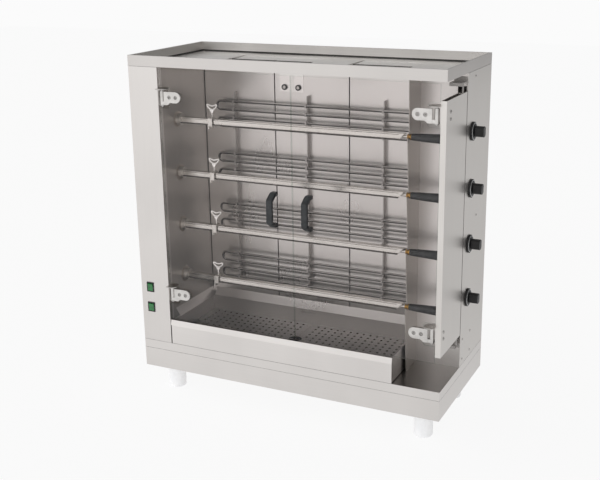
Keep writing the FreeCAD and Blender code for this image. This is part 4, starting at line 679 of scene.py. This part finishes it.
# ---------------------------------------------------------------- the casing
@dataclass
class Casing:
    """Sheet-metal cabinet with its feet and its screws."""

    shop: Workshop
    edge_mm: float = 0.5
    width: float = reach("base_apron", Axis.X)
    depth: float = reach("base_apron", Axis.Y)
    column: float = reach("left_column_cover", Axis.X)
    rest_x: float = reach("spit_rest_wall", Axis.X)
    reflector_y: float = 295.0
    seam_z: float = reach("base_deck", Axis.Z, False)
    seam: float = 0.8
    seam_near: float = 0.25     # how far the painted shadow in the open joint stands back from the sheets' faces
    seam_far: float = 1.4
    deck: float = reach("base_deck", Axis.Z)
    # Dark strips of painted shadow: in the seam under the drawer and in the reflector's corner.
    deck_shadow: float = 0.9
    deck_shadow_depth: tuple[float, float] = (0.5, 3.0)
    corner_shadow: float = 2.6
    shadow_proud: float = 0.4
    shadow_top_gap: float = 2.0
    plate_top: float = reach("top_plate", Axis.Z)
    rim_top: float = reach("top_rim", Axis.Z)
    rim: float = 8.0
    # A thin sheet of darker steel on the rim's inner faces: painted shade.
    inside_shade: float = 0.3
    inside_shade_drop: float = 1.2
    # A dark band of painted shadow where the rim meets the top plate.
    shadow_band: float = 5.5
    shadow_band_thick: float = 0.8
    openings: tuple[tuple[float, float], ...] = ((225.0, 545.0), (680.0, 895.0))
    opening_back: float = 388.0
    baffle_gap: float = 2.0
    baffle_sheet: float = 0.6
    baffle_front_drop: float = 4.0
    baffle_back_drop: float = 1.7
    baffle_shadow_drop: float = 0.5
    sheets: dict[str, Finish] = field(default_factory=lambda: {
        "base_apron": Finish.FRONT_BAND, "base_deck": Finish.FRONT_BAND,
        "left_column_cover": Finish.CASING, "left_inner_wall": Finish.WALL,
        "reflector_panels": Finish.REFLECTOR, "rear_cover": Finish.CASING,
        "right_side_panel": Finish.SIDE, "bay_back_wall": Finish.CASING,
        "spit_rest_wall": Finish.WALL, "top_plate": Finish.TOP, "top_rim": Finish.RIM,
        "gate_pivots": Finish.ENAMEL, "drawer_runners": Finish.WALL})
    small: dict[str, Finish] = field(default_factory=lambda: {
        "feet": Finish.FOOT, "casing_screws": Finish.SCREW, "cable_gland": Finish.BLACK,
        "terminal_block": Finish.CERAMIC, "energy_regulators": Finish.PHENOLIC,
        "rocker_housings": Finish.BLACK, "rocker_1": Finish.GREEN, "rocker_2": Finish.GREEN})

    def build(self) -> None:
        """Dresses the sheets and the fittings."""
        for node, finish in self.sheets.items():
            self.shop.dress(node, finish, self.edge_mm)
        for node, finish in self.small.items():
            self.shop.dress(node, finish)
        for node in ("rocker_1", "rocker_2", "rocker_housings"):
            self.shop.soften(frame["nodes"][node], self.edge_mm)
        self.shade_rim()
        self.shade_joints()
        self.close_flue()

    def slabs(self, name: str, boxes: list[Box], finish: Finish) -> None:
        """Makes one piece of several boxes on the cabinet.

        Args:
            name: name of the piece.
            boxes: each its lowest and highest x, y and z, in shop millimetres.
            finish: what its surface is.
        """
        mesh = bmesh.new()
        for x0, x1, y0, y1, z0, z1 in boxes:
            block(mesh, at(x0, y0, z0), at(x1, y1, z1))
        self.shop.piece(name, mesh, finish, "cabinet", "casing_steel")

    def band_inside_rim(self, low: float, high: float, thick: float) -> list[Box]:
        """Boxes that line the rim's four inner faces between two heights."""
        left, right = self.rim, self.width - self.rim
        front, back = self.rim, self.depth - self.rim
        return [(left, right, back - thick, back, low, high),
                (left, right, front, front + thick, low, high),
                (left, left + thick, front + thick, back - thick, low, high),
                (right - thick, right, front + thick, back - thick, low, high)]

    def shade_rim(self) -> None:
        """Covers the rim's inner faces with a slightly darker copy of its steel, painted shade, and
        paints a band of shadow at its foot.
        """
        foot = self.plate_top + self.shadow_band
        inside = self.band_inside_rim(foot, self.rim_top - self.inside_shade_drop, self.inside_shade)
        self.slabs("rim_lining", inside, Finish.RIM_INSIDE)
        # Painted shadow: a dark band where the rim meets the top plate.
        round_foot = self.band_inside_rim(self.plate_top, foot, self.shadow_band_thick)
        self.slabs("rim_seal", round_foot, Finish.JOINT)

    def shade_joints(self) -> None:
        """Paints shadow, as dark strips, into the open joints of the outer sheets, the seam under
        the drawer and the reflector's corner.
        """
        low, high = self.seam_z - self.seam, self.seam_z
        near, far = self.seam_near, self.seam_far
        right, back = self.width, self.depth
        front_in, back_in = self.deck_shadow_depth
        boxes = [(near, right - near, near, far, low, high),
                 (near, right - near, back - far, back - near, low, high),
                 (near, far, far, back - far, low, high),
                 (right - far, right - near, far, back - far, low, high),
                 (self.column, self.rest_x, front_in, back_in, self.deck,
                  self.deck + self.deck_shadow)]
        self.slabs("seam_filler", boxes, Finish.JOINT)
        corner = (self.column, self.column + self.corner_shadow,
                  self.reflector_y - self.shadow_proud, self.reflector_y, self.deck,
                  self.plate_top - self.shadow_top_gap)
        self.slabs("corner_seal", [corner], Finish.JOINT)

    def close_flue(self) -> None:
        """Closes the space behind the reflector, seen through the two openings of the top, and
        paints a strip of shadow on the reflector under each baffle.
        """
        gap, sheet = self.baffle_gap, self.baffle_sheet
        front, back = self.reflector_y + gap, self.opening_back - gap
        front_z = self.plate_top - self.baffle_front_drop
        back_z = self.plate_top - self.baffle_back_drop
        outline = [(front, front_z), (back, back_z), (back, back_z - sheet),
                   (front, front_z - sheet)]
        mesh = bmesh.new()
        shadow_band = []
        for start, end in self.openings:
            prism(mesh, [at(start + gap, y, z) for y, z in outline],
                  Vector(((end - start - 2.0 * gap) * MM, 0.0, 0.0)))
            shadow_band.append((start + gap, end - gap, self.reflector_y - self.shadow_proud,
                         self.reflector_y, front_z - self.baffle_shadow_drop, back_z))
        self.shop.piece("flue_baffles", mesh, Finish.TOP, "cabinet", "casing_steel")
        self.slabs("baffle_seal", shadow_band, Finish.JOINT)


@dataclass
class DoorCatch:
    """Bracket under the top plate with two pot magnets."""

    shop: Workshop
    left: float = reach("door_catch", Axis.X, False)
    right: float = reach("door_catch", Axis.X)
    low_z: float = reach("door_catch", Axis.Z, False)
    top_z: float = reach("door_catch", Axis.Z)
    back_y: float = reach("door_catch", Axis.Y)
    front_y: float = 12.3
    sheet: float = 1.5
    magnet_pitch: float = 47.0
    magnet_radius: float = 9.0
    magnet_length: float = 5.0
    magnet_z: float = 1125.5
    pot_edge: float = 0.6
    core_radius: float = 5.2
    core_step: float = 0.8
    plate_gap: float = 0.3
    plate_edge: float = 1.0
    plate_back: float = 0.25    # from the pot's tip to where the plate's edge starts
    plate_face: float = 0.1

    def build(self) -> None:
        """Makes the bracket and both magnets."""
        self.bracket()
        for number, way in enumerate((-1, 1), 1):
            across = (self.left + self.right + way * self.magnet_pitch) / 2.0
            self.magnet(number, at(across, self.front_y, self.magnet_z))

    def keep(self, name: str, mesh: bmesh.types.BMesh, finish: Finish) -> bpy.types.Object:
        """Makes one piece of the catch in the CAD catch's place."""
        made = self.shop.piece(name, mesh, finish, "cabinet", "casing_steel")
        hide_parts("door_catch")
        return made

    def bracket(self) -> None:
        """Folds the bracket's upright face and its flange under the top plate."""
        face, inside, under = self.front_y, self.front_y + self.sheet, self.top_z - self.sheet
        outline = [(face, self.low_z), (inside, self.low_z), (inside, under),
                   (self.back_y, under), (self.back_y, self.top_z), (face, self.top_z)]
        mesh = bmesh.new()
        prism(mesh, [at(self.left, y, z) for y, z in outline],
              Vector(((self.right - self.left) * MM, 0.0, 0.0)))
        self.shop.soften(self.keep("catch_bracket", mesh, Finish.CASING), self.sheet / 4.0)

    def magnet(self, number: int, centre: Vector) -> None:
        """Makes one magnet: its black pot and the ground plate inside the pot's ring.

        Args:
            number: 1 on the left, 2 on the right.
            centre: middle of its back, in metres.
        """
        tip = -self.magnet_length
        floor = tip + self.core_step
        wide, core, edge = self.magnet_radius, self.core_radius, self.pot_edge
        pot = bmesh.new()
        lathe(pot, [(0.0, wide), (tip + edge, wide), (tip, wide - edge), (tip, core),
                    (floor, core), (floor, 0.0)], centre, Axis.Y)
        self.keep("catch_pot_%d" % number, pot, Finish.MAGNET)
        plate = bmesh.new()
        rim, face = core - self.plate_gap, tip + self.plate_face
        lathe(plate, [(floor, rim), (tip + self.plate_back, rim), (face, core - self.plate_edge),
                      (face, 0.0)], centre, Axis.Y)
        self.keep("catch_face_%d" % number, plate, Finish.MAGNET_FACE)


# ---------------------------------------------------------------- doors and gate
@dataclass
class Doors:
    """Glass doors with their hinges and handles, and the side gate."""

    shop: Workshop
    glass_y: float = reach("left_door_glass", Axis.Y, False)
    leg_z: float = 51.5
    bar_z: float = 35.5
    elbow_y: float = -12.0
    bar_y: float = -37.0
    bend_mm: float = 3.0
    hinge_zs: tuple[float, float] = (1071.5, 387.0)
    leaf_front_y: float = reach("left_door_leaves", Axis.Y, False)
    leaf_screw_insets: tuple[float, float] = (56.5, 32.5)
    # Dark ring round each leaf screw and dark hexagon in its socket: painted shade.
    leaf_shadow_ring: Profile = ((0.2, 4.3), (0.2, 6.3), (-0.15, 6.1), (-0.15, 4.5))
    leaf_socket_shade: Profile = ((0.2, 2.2), (-0.15, 2.0), (-0.15, 0.0))
    half_width: float = 10.8
    leg_half: float = 7.0
    bar_half: float = 6.0
    grip_screw: Profile = ((-5.0, 2.9), (0.0, 2.9), (0.0, 5.0), (1.4, 4.6), (2.2, 3.0),
                           (2.2, 0.0))
    grip_seat: float = 5.0

    def build(self) -> None:
        """Dresses the hinges, panes and gate, and makes the handles."""
        for side in Side:
            self.shop.dress(side.word + "_door_glass", Finish.GLASS)
            self.shop.dress(side.word + "_door_leaves", Finish.HINGE)
            self.handle(side)
            self.leaf_screws(side)
        self.shop.dress("left_hinge_brackets", Finish.BRACKET, 0.3)
        self.shop.dress("gate_hinge_brackets", Finish.BRACKET, 0.3)
        self.shop.dress("side_gate", Finish.SIDE, 0.5)

    def leaf_screws(self, side: Side) -> None:
        """Makes dark rings round the countersunk screws of a door's leaves and dark hexagons in
        their sockets: painted shade.
        """
        pin_x = pivot(side.word + "_door_hinge", Axis.X)
        mesh = bmesh.new()
        for z in self.hinge_zs:
            for inset in self.leaf_screw_insets:
                seat = at(pin_x - side.value * inset, self.leaf_front_y, z)
                lathe(mesh, self.leaf_shadow_ring, seat, Axis.Y, 32, True)
                lathe(mesh, self.leaf_socket_shade, seat, Axis.Y, 6)
        self.shop.piece(side.word + "_leaf_screws", mesh, Finish.SOCKET, side.word + "_door",
                        "screw_steel")

    def handle(self, side: Side) -> None:
        """Makes a door's moulded bridge handle with its two screws."""
        node = side.word + "_door_handle"
        x, mid_z = middle(node, Axis.X), middle(node, Axis.Z)
        corners = [(self.glass_y, -self.leg_z), (self.elbow_y, -self.leg_z),
                   (self.bar_y, -self.bar_z), (self.bar_y, self.bar_z),
                   (self.elbow_y, self.leg_z), (self.glass_y, self.leg_z)]
        path = rounded_path([at(x, y, mid_z + z) for y, z in corners], self.bend_mm)
        depth = (self.glass_y - self.bar_y) * MM
        halves = []
        for spot in path:
            share = min(1.0, max(0.0, (at(0.0, self.glass_y, 0.0).y - spot.y) / depth))
            halves.append((self.leg_half + (self.bar_half - self.leg_half) * share,
                           self.half_width))
        mesh = bmesh.new()
        sweep(mesh, path, Vector((1.0, 0.0, 0.0)), halves, 0.05, False)
        for way in (-1, 1):
            seat = at(x, self.glass_y + self.grip_seat, mid_z + way * self.leg_z)
            lathe(mesh, self.grip_screw, seat, Axis.Y, 24)
        grip = self.shop.piece(side.word + "_grip", mesh, Finish.DOOR_GRIP,
                               side.word + "_door", "black_plastic")
        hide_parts(node)


# ---------------------------------------------------------------- spits and drive
SPIT_HEIGHTS = tuple(pivot("spit_turn_%d" % number, Axis.Z) for number in range(1, 5))


@dataclass
class Spits:
    """Four spits with their handles, forks and thumb screws, and the drive behind the wall."""

    shop: Workshop
    axis_y: float = pivot("spit_turn_1", Axis.Y)
    bar_start: float = 130.1
    bar_end: float = 935.0
    slant: float = 18.0
    half: float = 10.0
    sheet: float = 3.0
    lip: float = 3.0
    # Dark strips of painted shadow along the bar: under its lip and under its top flange.
    lip_shadow: float = 3.2
    lip_shadow_proud: float = 0.3
    lip_shadow_under: float = 0.1
    lip_shadow_deep: float = 0.6
    flange_shadow: float = 1.3
    flange_shadow_proud: float = 0.25
    flange_shadow_deep: float = 0.5
    edge_mm: float = 0.4
    neck_start: float = 897.0
    neck_radius: float = 5.0
    neck_in_handle: float = 30.0
    tang: float = 12.0
    ferrule_x: float = 942.75
    handle_x: float = 955.75
    ferrule_turned: Profile = ((0.0, 5.1), (0.0, 9.2), (0.8, 10.0), (3.9, 10.0), (4.5, 9.4),
                               (4.5, 7.0), (8.5, 7.0), (8.5, 9.4), (9.1, 10.0), (12.4, 10.0),
                               (13.0, 9.6), (13.0, 5.1))
    grip_turned: Profile = ((0.0, 5.2), (0.0, 9.4), (1.6, 10.8), (7.0, 11.1), (9.0, 10.6),
                            (11.0, 11.2), (30.0, 12.3), (60.0, 13.6), (90.0, 14.8),
                            (106.0, 15.4), (109.0, 15.0), (110.5, 15.4), (112.0, 16.0),
                            (114.6, 16.0), (116.2, 15.2), (117.0, 13.4), (117.0, 5.0),
                            (114.0, 4.6), (114.0, 0.0))
    fork_x: float = reach("fork_1", Axis.X, False)
    screw_x: float = 8.0        # from the fork's edge to its thumb screw
    loop_foot: float = 41.55
    stem_tip: Profile = ((-31.2, 0.0), (-31.2, 2.4), (-30.4, 3.0))
    thread_start: float = -29.6
    thread_turns: int = 12
    thread_radius: float = 3.0
    thread_root: float = 2.6
    stem_top: Profile = ((-17.0, 2.4), (-8.0, 2.2), (-2.0, 2.6), (1.0, 2.4), (1.0, 0.0))
    web: Profile = ((-2.2, -12.0), (2.2, -12.0), (9.6, 2.2), (-9.6, 2.2))   # across and up
    web_half: float = 2.0
    loop_steps: int = 72
    loop_half_width: float = 18.2
    loop_height: float = 21.0
    loop_dip: float = 6.6
    dip_spread: float = 0.135
    loop_bar: float = 2.8

    def build(self) -> None:
        """Makes and dresses everything that turns, and the heating behind it."""
        for number, z in enumerate(SPIT_HEIGHTS, 1):
            body = "drive_%d" % number
            self.bar(number, z, body)
            self.ferrule(number, z, body)
            self.grip(number, z, body)
            self.thumb_screw(number, z)
            self.shop.dress("fork_%d" % number, Finish.FORK, self.edge_mm)
            self.shop.dress("drive_shaft_%d" % number, Finish.HUB)
        for node, finish in (("spit_bearings", Finish.BRONZE), ("gearmotor", Finish.MOTOR),
                             ("motor_sprocket", Finish.CHAIN), ("drive_chain", Finish.CHAIN),
                             ("heating_elements", Finish.TUBE), ("element_rails", Finish.RAIL)):
            self.shop.dress(node, finish)

    def bar(self, number: int, z: float, body: str) -> None:
        """Makes the angle bar, cut on the slant at its end, with its neck and tang.

        Args:
            number: which spit.
            z: height of its axis.
            body: body that it rides on.
        """
        h, s = self.half, self.sheet
        section = [(-h, h), (h, h), (h, h - s), (s - h, h - s), (s - h, -h),
                   (-h - self.lip, -h), (-h - self.lip, s / 2.0 - h), (-h, s / 2.0 - h)]
        mesh = bmesh.new()
        fall = 2.0 * h - s
        near = [mesh.verts.new(at(self.bar_start, self.axis_y + y, z + w)) for y, w in section]
        far = []
        for y, w in section:
            back = self.slant * min(1.0, max(0.0, (h - s - w) / fall))
            far.append(mesh.verts.new(at(self.bar_end - back, self.axis_y + y, z + w)))
        count = len(section)
        for k in range(count):
            mesh.faces.new([near[k], near[(k + 1) % count], far[(k + 1) % count], far[k]])
        mesh.faces.new(near)
        mesh.faces.new(far[:4])
        mesh.faces.new(far[:1] + far[3:])
        neck = at(self.neck_start, self.axis_y, z)
        length = self.handle_x - self.neck_start + self.neck_in_handle
        lathe(mesh, [(0.0, self.neck_radius), (length, self.neck_radius)], neck, Axis.X, 32)
        half_tang = self.tang / 2.0
        block(mesh, at(self.bar_start - self.tang, self.axis_y - half_tang, z - half_tang),
              at(self.bar_start, self.axis_y + half_tang, z + half_tang))
        made = self.shop.piece("spit_bar_%d" % number, mesh, Finish.SPIT, body, "spit_steel")
        self.shop.soften(made, self.edge_mm)
        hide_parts("spit_%d" % number)
        self.edges(number, z, body)

    def edges(self, number: int, z: float, body: str) -> None:
        """Makes the dark strip of painted shadow along the bar's lip and the dark line of painted
        shadow under its flange.

        Args:
            number: which spit.
            z: height of its axis.
            body: body that it rides on.
        """
        mesh = bmesh.new()
        front, lip_y = self.axis_y - self.half, self.axis_y - self.half - self.lip
        low, under = z - self.half, z + self.half - self.sheet
        far_end = self.bar_end - self.slant
        block(mesh, at(self.bar_start, lip_y - self.lip_shadow_proud, low - self.lip_shadow_under),
              at(far_end, lip_y + self.lip_shadow_deep, low + self.lip_shadow))
        block(mesh, at(self.bar_start, front - self.flange_shadow_proud, under - self.flange_shadow),
              at(far_end, front + self.flange_shadow_deep, under))
        edges = self.shop.piece("spit_edge_%d" % number, mesh, Finish.EDGE, body, "spit_steel")
        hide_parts("spit_%d" % number)

    def ferrule(self, number: int, z: float, body: str) -> None:
        """Makes the turned brass ferrule with the ring-shaped channel that sits in the rest."""
        mesh = bmesh.new()
        lathe(mesh, self.ferrule_turned, at(self.ferrule_x, self.axis_y, z), Axis.X, 48)
        made = self.shop.piece("spit_ferrule_%d" % number, mesh, Finish.BRASS, body, "spit_steel")
        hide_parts("spit_%d" % number)

    def grip(self, number: int, z: float, body: str) -> None:
        """Makes the tapered moulded handle with a swelling behind its collar."""
        mesh = bmesh.new()
        lathe(mesh, self.grip_turned, at(self.handle_x, self.axis_y, z), Axis.X, 64)
        made = self.shop.piece("spit_grip_%d" % number, mesh, Finish.HANDLE, body, "spit_steel")
        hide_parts("spit_%d" % number)

    def loop_point(self, turn: float) -> tuple[float, float]:
        """Point of the heart-shaped loop.

        Args:
            turn: 0 to 1 from its foot, round and back.

        Returns:
            Distance across and height above the foot, in millimetres.
        """
        angle = 2.0 * math.pi * turn
        ellipse = 0.44 * (1.0 - math.cos(angle))
        rise = self.loop_height * (ellipse + 0.12 * (1.0 - math.cos(2.0 * angle)))
        dip = self.loop_dip * math.exp(-((turn - 0.5) / self.dip_spread) ** 2)
        return self.loop_half_width * math.sin(angle), rise - dip

    def thumb_screw(self, number: int, z: float) -> None:
        """Makes the threaded stem and the bent wire loop on top of it."""
        x = self.fork_x + self.screw_x
        foot = z + self.loop_foot
        mesh = bmesh.new()
        loop = []
        for k in range(self.loop_steps):
            across, rise = self.loop_point(k / self.loop_steps)
            loop.append(at(x + across, self.axis_y, foot + rise))
        bar = (self.loop_bar, self.loop_bar)
        sweep(mesh, loop, Vector((0.0, 1.0, 0.0)), [bar] * self.loop_steps, 0.8, True)
        profile = list(self.stem_tip)
        for turn in range(self.thread_turns):
            crest = self.thread_start + turn
            profile += [(crest, self.thread_radius), (crest + 0.5, self.thread_root)]
        profile += self.stem_top
        lathe(mesh, profile, at(x, self.axis_y, foot), Axis.Z, 32)
        outline = [at(x + a, self.axis_y - self.web_half, foot + b) for a, b in self.web]
        prism(mesh, outline, Vector((0.0, 2.0 * self.web_half * MM, 0.0)))
        made = self.shop.piece("thumb_screw_%d" % number, mesh, Finish.THUMB, "wing_%d" % number,
                               "spit_steel")
        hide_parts("wing_screw_%d" % number)


# ---------------------------------------------------------------- drawer
@dataclass
class Drawer:
    """Drip drawer with its two perforated plates."""

    shop: Workshop
    left: float = 119.0
    right: float = 936.5
    front: float = 6.0
    back: float = 286.0
    floor: float = reach("drip_insert_left", Axis.Z, False)
    # A dark sheet on the pan's floor: painted shade under the plates.
    shade_low: float = 0.1
    shade_high: float = 0.5

    def shade_pan_floor(self) -> None:
        """Lays a dark sheet of painted shade on the pan's floor, seen through the plates' holes."""
        mesh = bmesh.new()
        block(mesh, at(self.left, self.front, self.floor + self.shade_low),
              at(self.right, self.back, self.floor + self.shade_high))
        self.shop.piece("fat_film", mesh, Finish.FAT, "drawer", "bright_steel")

    def build(self) -> None:
        """Dresses the three pieces and lays the dark sheet of painted shade on the pan's floor."""
        self.shop.dress("drip_drawer", Finish.FRONT_BAND, 0.5)
        self.shade_pan_floor()
        for side in Side:
            self.shop.dress("drip_insert_" + side.word, Finish.INSERT)


# ---------------------------------------------------------------- controls
@dataclass
class Knobs:
    """Rotary knobs of the regulators."""

    shop: Workshop
    panel_x: float = reach("right_side_panel", Axis.X)
    axis_y: float = pivot("knob_turn_1", Axis.Y)
    skirt_turned: Profile = ((-25.0, 0.0), (-25.0, 3.0), (0.4, 3.0), (0.4, 29.2), (1.2, 30.0),
                             (5.2, 30.0), (6.2, 28.9), (6.4, 27.4), (5.6, 27.2), (5.6, 25.2),
                             (7.6, 24.8), (8.8, 22.6), (9.2, 20.0), (9.2, 0.0))
    ring_turned: Profile = ((5.7, 25.4), (5.7, 27.1), (6.9, 27.1), (7.4, 26.6), (7.4, 25.8),
                            (7.0, 25.4))
    steps: int = 96
    flat: float = 12.5
    radius: float = 17.2
    proud: float = 39.0
    grip_start: float = 9.1
    mark_start: float = 3.0
    mark_end: float = 13.0
    mark_half: float = 0.8
    mark_deep: float = 0.9

    def build(self) -> None:
        """Makes the knobs."""
        for number, z in enumerate(SPIT_HEIGHTS, 1):
            self.knob(number, z)

    def knob(self, number: int, z: float) -> None:
        """Makes one knob: skirt, chromed ring, grip with finger flats, and a pointer line.

        Args:
            number: which knob.
            z: height of its axis.
        """
        body = "knob_body_%d" % number
        base = at(self.panel_x, self.axis_y, z)
        mesh = bmesh.new()
        lathe(mesh, self.skirt_turned, base, Axis.X, self.steps)
        skirt = self.shop.piece("knob_skirt_%d" % number, mesh, Finish.BLACK, body, "black_plastic")
        mesh = bmesh.new()
        lathe(mesh, self.ring_turned, base, Axis.X, self.steps, True)
        ring = self.shop.piece("knob_ring_%d" % number, mesh, Finish.CHROME, body, "screw_steel")
        mesh = bmesh.new()
        outline = []
        for k in range(self.steps):
            angle = 2.0 * math.pi * k / self.steps
            y = max(-self.flat, min(self.flat, self.radius * math.cos(angle)))
            outline.append(at(self.panel_x + self.grip_start, self.axis_y + y,
                              z + self.radius * math.sin(angle)))
        prism(mesh, outline, Vector(((self.proud - self.grip_start) * MM, 0.0, 0.0)))
        grip = self.shop.piece("knob_grip_%d" % number, mesh, Finish.BLACK, body, "black_plastic")
        self.shop.soften(grip, 1.2, 4)
        mesh = bmesh.new()
        face_x = self.panel_x + self.proud
        block(mesh, at(face_x - self.mark_deep, self.axis_y - self.mark_half,
                       z + self.mark_start),
              at(face_x, self.axis_y + self.mark_half, z + self.mark_end))
        mark = self.shop.piece("knob_mark_%d" % number, mesh, Finish.POINTER, body, "black_plastic")
        for made in (skirt, ring, grip, mark):
            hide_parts("knob_%d" % number)


# ---------------------------------------------------------------- stage
@dataclass
class Studio:
    """Camera, lamps, world and floor."""

    camera_at: Triple = (1.38698, -2.93317, 1.56917)
    yaw: float = -0.439904
    pitch: float = 0.283115
    roll: float = -0.011431
    focal_px: float = 988.382
    centre_px: tuple[float, float] = (316.330, 224.583)
    frame_px: tuple[float, float] = (600.0, 480.0)
    sensor_mm: float = 36.0
    backdrop: str = "#FBFBFB"
    aim_m: Triple = (0.0, 0.0, 0.6)
    bright_way: Triple = (-0.60, -0.78, -0.15)      # metal mirrors the brightest side from here
    sky: tuple[float, float] = (0.30, 1.06)         # brightness away from that side and in it
    floor_way: Triple = (-0.60, -0.80, 0.0)
    floor_mirrored: tuple[float, float] = (0.72, 1.0)   # behind and in front of the object
    floor_seen: float = 1.03
    floor_glow: float = 0.9     # the rest of the floor takes the shadow
    floor_half_m: float = 12.0
    lamps: tuple[tuple[str, Triple, float, float], ...] = (
        ("key_lamp", (-1.8, -3.6, 1.0), 2.4, 3.0), ("fill_lamp", (2.8, -2.6, 0.9), 2.0, 0.8))

    def camera(self) -> None:
        """Places the camera with its lens and its small shift."""
        forward = Vector((math.sin(self.yaw) * math.cos(self.pitch),
                          math.cos(self.yaw) * math.cos(self.pitch), -math.sin(self.pitch)))
        right = Vector((math.cos(self.yaw), -math.sin(self.yaw), 0.0))
        up = right.cross(forward)
        cos_r, sin_r = math.cos(self.roll), math.sin(self.roll)
        right, up = right * cos_r + up * sin_r, up * cos_r - right * sin_r
        data = bpy.data.cameras.new("studio_camera")
        data.sensor_width = self.sensor_mm
        data.lens = self.focal_px / self.frame_px[0] * self.sensor_mm
        data.shift_x = (self.frame_px[0] / 2.0 - self.centre_px[0]) / self.frame_px[0]
        data.shift_y = (self.centre_px[1] - self.frame_px[1] / 2.0) / self.frame_px[0]
        data.clip_end = 50.0
        camera = bpy.data.objects.new("studio_camera", data)
        turn = Matrix((right, up, -forward)).transposed()
        camera.matrix_world = Matrix.Translation(self.camera_at) @ turn.to_4x4()
        bpy.context.scene.collection.objects.link(camera)
        bpy.context.scene.camera = camera

    def lamp(self, name: str, place: Triple, size: float, power: float) -> None:
        """Adds a soft square lamp that faces the middle of the grill.

        Args:
            name: name of the lamp.
            place: where it stands, in metres.
            size: length of its side in metres.
            power: watts.
        """
        data = bpy.data.lights.new(name, "AREA")
        data.size = size
        data.energy = power
        made = bpy.data.objects.new(name, data)
        aim = Vector(self.aim_m) - Vector(place)
        made.rotation_euler = aim.to_track_quat("-Z", "Y").to_euler()
        made.location = place
        bpy.context.scene.collection.objects.link(made)

    def world(self) -> None:
        """Builds the studio: white behind the object, brighter in front of it than behind."""
        world = bpy.data.worlds.new("studio")
        bpy.context.scene.world = world
        world.use_nodes = True
        tree = world.node_tree
        tree.nodes.clear()
        out = add(tree, "ShaderNodeOutputWorld")
        direction = add(tree, "ShaderNodeTexCoord").outputs["Generated"]
        lean = add(tree, "ShaderNodeVectorMath",
                   {0: direction, 1: Vector(self.bright_way).normalized()},
                   operation="DOT_PRODUCT").outputs["Value"]
        level = add(tree, "ShaderNodeMapRange", {
            "Value": lean, "From Min": -0.8, "From Max": 0.8, "To Min": self.sky[0],
            "To Max": self.sky[1]}).outputs["Result"]
        soft = add(tree, "ShaderNodeCombineColor", {0: level, 1: level, 2: level})
        path = add(tree, "ShaderNodeLightPath")
        seen = add(tree, "ShaderNodeMath", {0: path.outputs["Is Camera Ray"],
                                            1: path.outputs["Is Transmission Ray"]},
                   operation="MAXIMUM")
        mix = add(tree, "ShaderNodeMix", {0: seen.outputs[0], 6: soft.outputs[0],
                                          7: linear(self.backdrop)}, data_type="RGBA")
        shade = add(tree, "ShaderNodeBackground", {"Color": mix.outputs[2], "Strength": 1.0})
        tree.links.new(shade.outputs[0], out.inputs["Surface"])

    def floor(self) -> None:
        """Lays the pale floor, which keeps a faint shadow."""
        mesh = bmesh.new()
        bmesh.ops.create_grid(mesh, x_segments=1, y_segments=1, size=self.floor_half_m)
        data = bpy.data.meshes.new("floor")
        mesh.to_mesh(data)
        mesh.free()
        floor = bpy.data.objects.new("floor", data)
        bpy.context.scene.collection.objects.link(floor)
        material, tree, out = fresh("studio_floor")
        white = linear(self.backdrop)
        cloud = pattern(tree, (900.0, 900.0, 900.0), 1.0)
        paint = add(tree, "ShaderNodeBsdfDiffuse",
                    {"Color": tinted(tree, cloud, (0.0, 1.0), "#F4F4F4", self.backdrop)})
        path = add(tree, "ShaderNodeLightPath")
        place = add(tree, "ShaderNodeNewGeometry").outputs["Position"]
        front = add(tree, "ShaderNodeVectorMath", {0: place, 1: self.floor_way},
                    operation="DOT_PRODUCT").outputs["Value"]
        soft = add(tree, "ShaderNodeMapRange", {
            "Value": front, "From Min": -1.5, "From Max": 1.5,
            "To Min": self.floor_mirrored[0], "To Max": self.floor_mirrored[1]})
        level = add(tree, "ShaderNodeMix", {
            0: path.outputs["Is Glossy Ray"], 2: self.floor_seen,
            3: soft.outputs["Result"]}, data_type="FLOAT").outputs[0]
        glow = add(tree, "ShaderNodeEmission", {"Color": white, "Strength": level})
        seen = add(tree, "ShaderNodeMath", {0: path.outputs["Is Camera Ray"],
                                            1: path.outputs["Is Glossy Ray"]},
                   operation="MAXIMUM")
        both = add(tree, "ShaderNodeMath", {0: seen.outputs[0],
                                            1: path.outputs["Is Transmission Ray"]},
                   operation="MAXIMUM")
        share = add(tree, "ShaderNodeMath", {0: both.outputs[0], 1: self.floor_glow},
                    operation="MULTIPLY")
        mix = add(tree, "ShaderNodeMixShader", {0: share.outputs[0], 1: paint.outputs[0],
                                                2: glow.outputs[0]})
        tree.links.new(mix.outputs[0], out.inputs["Surface"])
        data.materials.append(material)

    def build(self) -> None:
        """Sets up the whole stage."""
        bpy.context.scene.view_settings.view_transform = "Standard"
        self.camera()
        self.world()
        self.floor()
        for lamp in self.lamps:
            self.lamp(*lamp)
        log.info("studio is set")


def main() -> None:
    """Builds the grill's looks in order."""
    logging.basicConfig(level=logging.INFO, format="%(name)s: %(message)s")
    shop = Workshop()
    Studio().build()
    for part in (Casing(shop), DoorCatch(shop), Doors(shop), Spits(shop), Drawer(shop),
                 Knobs(shop)):
        part.build()
        log.info("finished %s", type(part).__name__)


if __name__ == "__main__":
    main()
